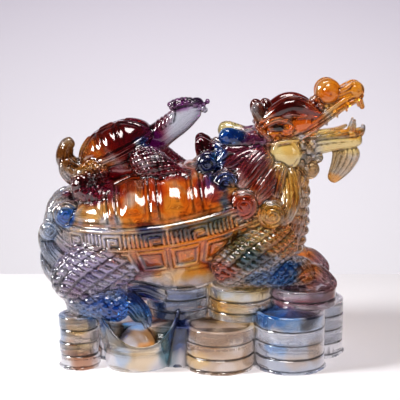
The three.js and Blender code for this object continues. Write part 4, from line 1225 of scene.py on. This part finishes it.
def backdrop():
    floorPaint, shader = plain("floorPaint")
    shader.inputs["Base Color"].default_value = (*stage["floor"], 1)
    wallPaint, shader = plain("wallPaint")
    nodes, links = wallPaint.node_tree.nodes, wallPaint.node_tree.links
    # painted shade: the wall's colour darkens from its foot towards its top
    place = nodes.new("ShaderNodeTexCoord")
    split = nodes.new("ShaderNodeSeparateXYZ")
    height = nodes.new("ShaderNodeMapRange")
    height.inputs["From Min"].default_value = stage["wallRange"][0]
    height.inputs["From Max"].default_value = stage["wallRange"][1]
    mix = nodes.new("ShaderNodeMix")
    mix.data_type = "RGBA"
    mix.inputs["A"].default_value = (*stage["wallLow"], 1)
    mix.inputs["B"].default_value = (*stage["wallTopShade"], 1)
    links.new(place.outputs["Object"], split.inputs["Vector"])
    links.new(split.outputs["Z"], height.inputs["Value"])
    links.new(height.outputs["Result"], mix.inputs["Factor"])
    links.new(mix.outputs["Result"], shader.inputs["Base Color"])
    edge, back = stage["edge"], stage["back"]
    table = surface("floor", [(-1.0, 0), (edge, 0), (edge + 0.004, -0.002)], 0.7, floorPaint)
    return table, surface("wall", [(back, -1.0), (back, 1.6)], 1.8, wallPaint)


def gathered(name, objects):
    group = bpy.data.collections.new(name)
    for obj in objects:
        group.objects.link(obj)
    return group


def softbox(name, lit=None, shading=None):
    # lit: what the light falls on; shading: what throws shadows in it
    place, target, size, power, tone = lights[name]
    data = bpy.data.lights.new(name + "Light", "AREA")
    data.shape = "RECTANGLE"
    data.size, data.size_y = size
    data.energy = power
    data.color = tone
    obj = bpy.data.objects.new(name + "Light", data)
    obj.location = place
    obj.rotation_euler = (Vector(target) - Vector(place)).to_track_quat("-Z", "Y").to_euler()
    bpy.context.scene.collection.objects.link(obj)
    obj.light_linking.receiver_collection = lit
    obj.light_linking.blocker_collection = shading


floor, wall = backdrop()
figure = [obj for obj in bpy.data.objects if obj.name in melt["pieces"]]
floorOnly = gathered("floorOnly", [floor])
wallOnly = gathered("wallOnly", [wall])
keyLit = gathered("keyLit", [floor, *figure])
softbox("key", keyLit)
# the next two shine through the glass onto the floor below it
softbox("top", None, floorOnly)
softbox("fill", None, floorOnly)
softbox("wall", wallOnly, wallOnly)

world = bpy.data.worlds.new("studio")
world.use_nodes = True
background = world.node_tree.nodes["Background"]
background.inputs["Color"].default_value = (*stage["world"], 1)
background.inputs["Strength"].default_value = stage["worldPower"]
scene = bpy.context.scene
scene.world = world
scene.view_settings.view_transform = "Standard"
scene.view_settings.look = "Medium High Contrast"
scene.view_settings.exposure = stage["exposure"]
scene.cycles.max_bounces = 20
scene.cycles.transmission_bounces = 20

camera = bpy.data.objects.new("camera", bpy.data.cameras.new("camera"))
scene.collection.objects.link(camera)
scene.camera = camera
elevation = math.radians(view["elevation"])
target = Vector(view["target"]) * mm
camera.data.lens = view["lens"]
camera.data.sensor_width = view["sensor"]
camera.location = target + Vector((0, -math.cos(elevation), math.sin(elevation))) * view["distance"] * mm
camera.rotation_euler = (target - camera.location).to_track_quat("-Z", "Y").to_euler()

print("stage done")
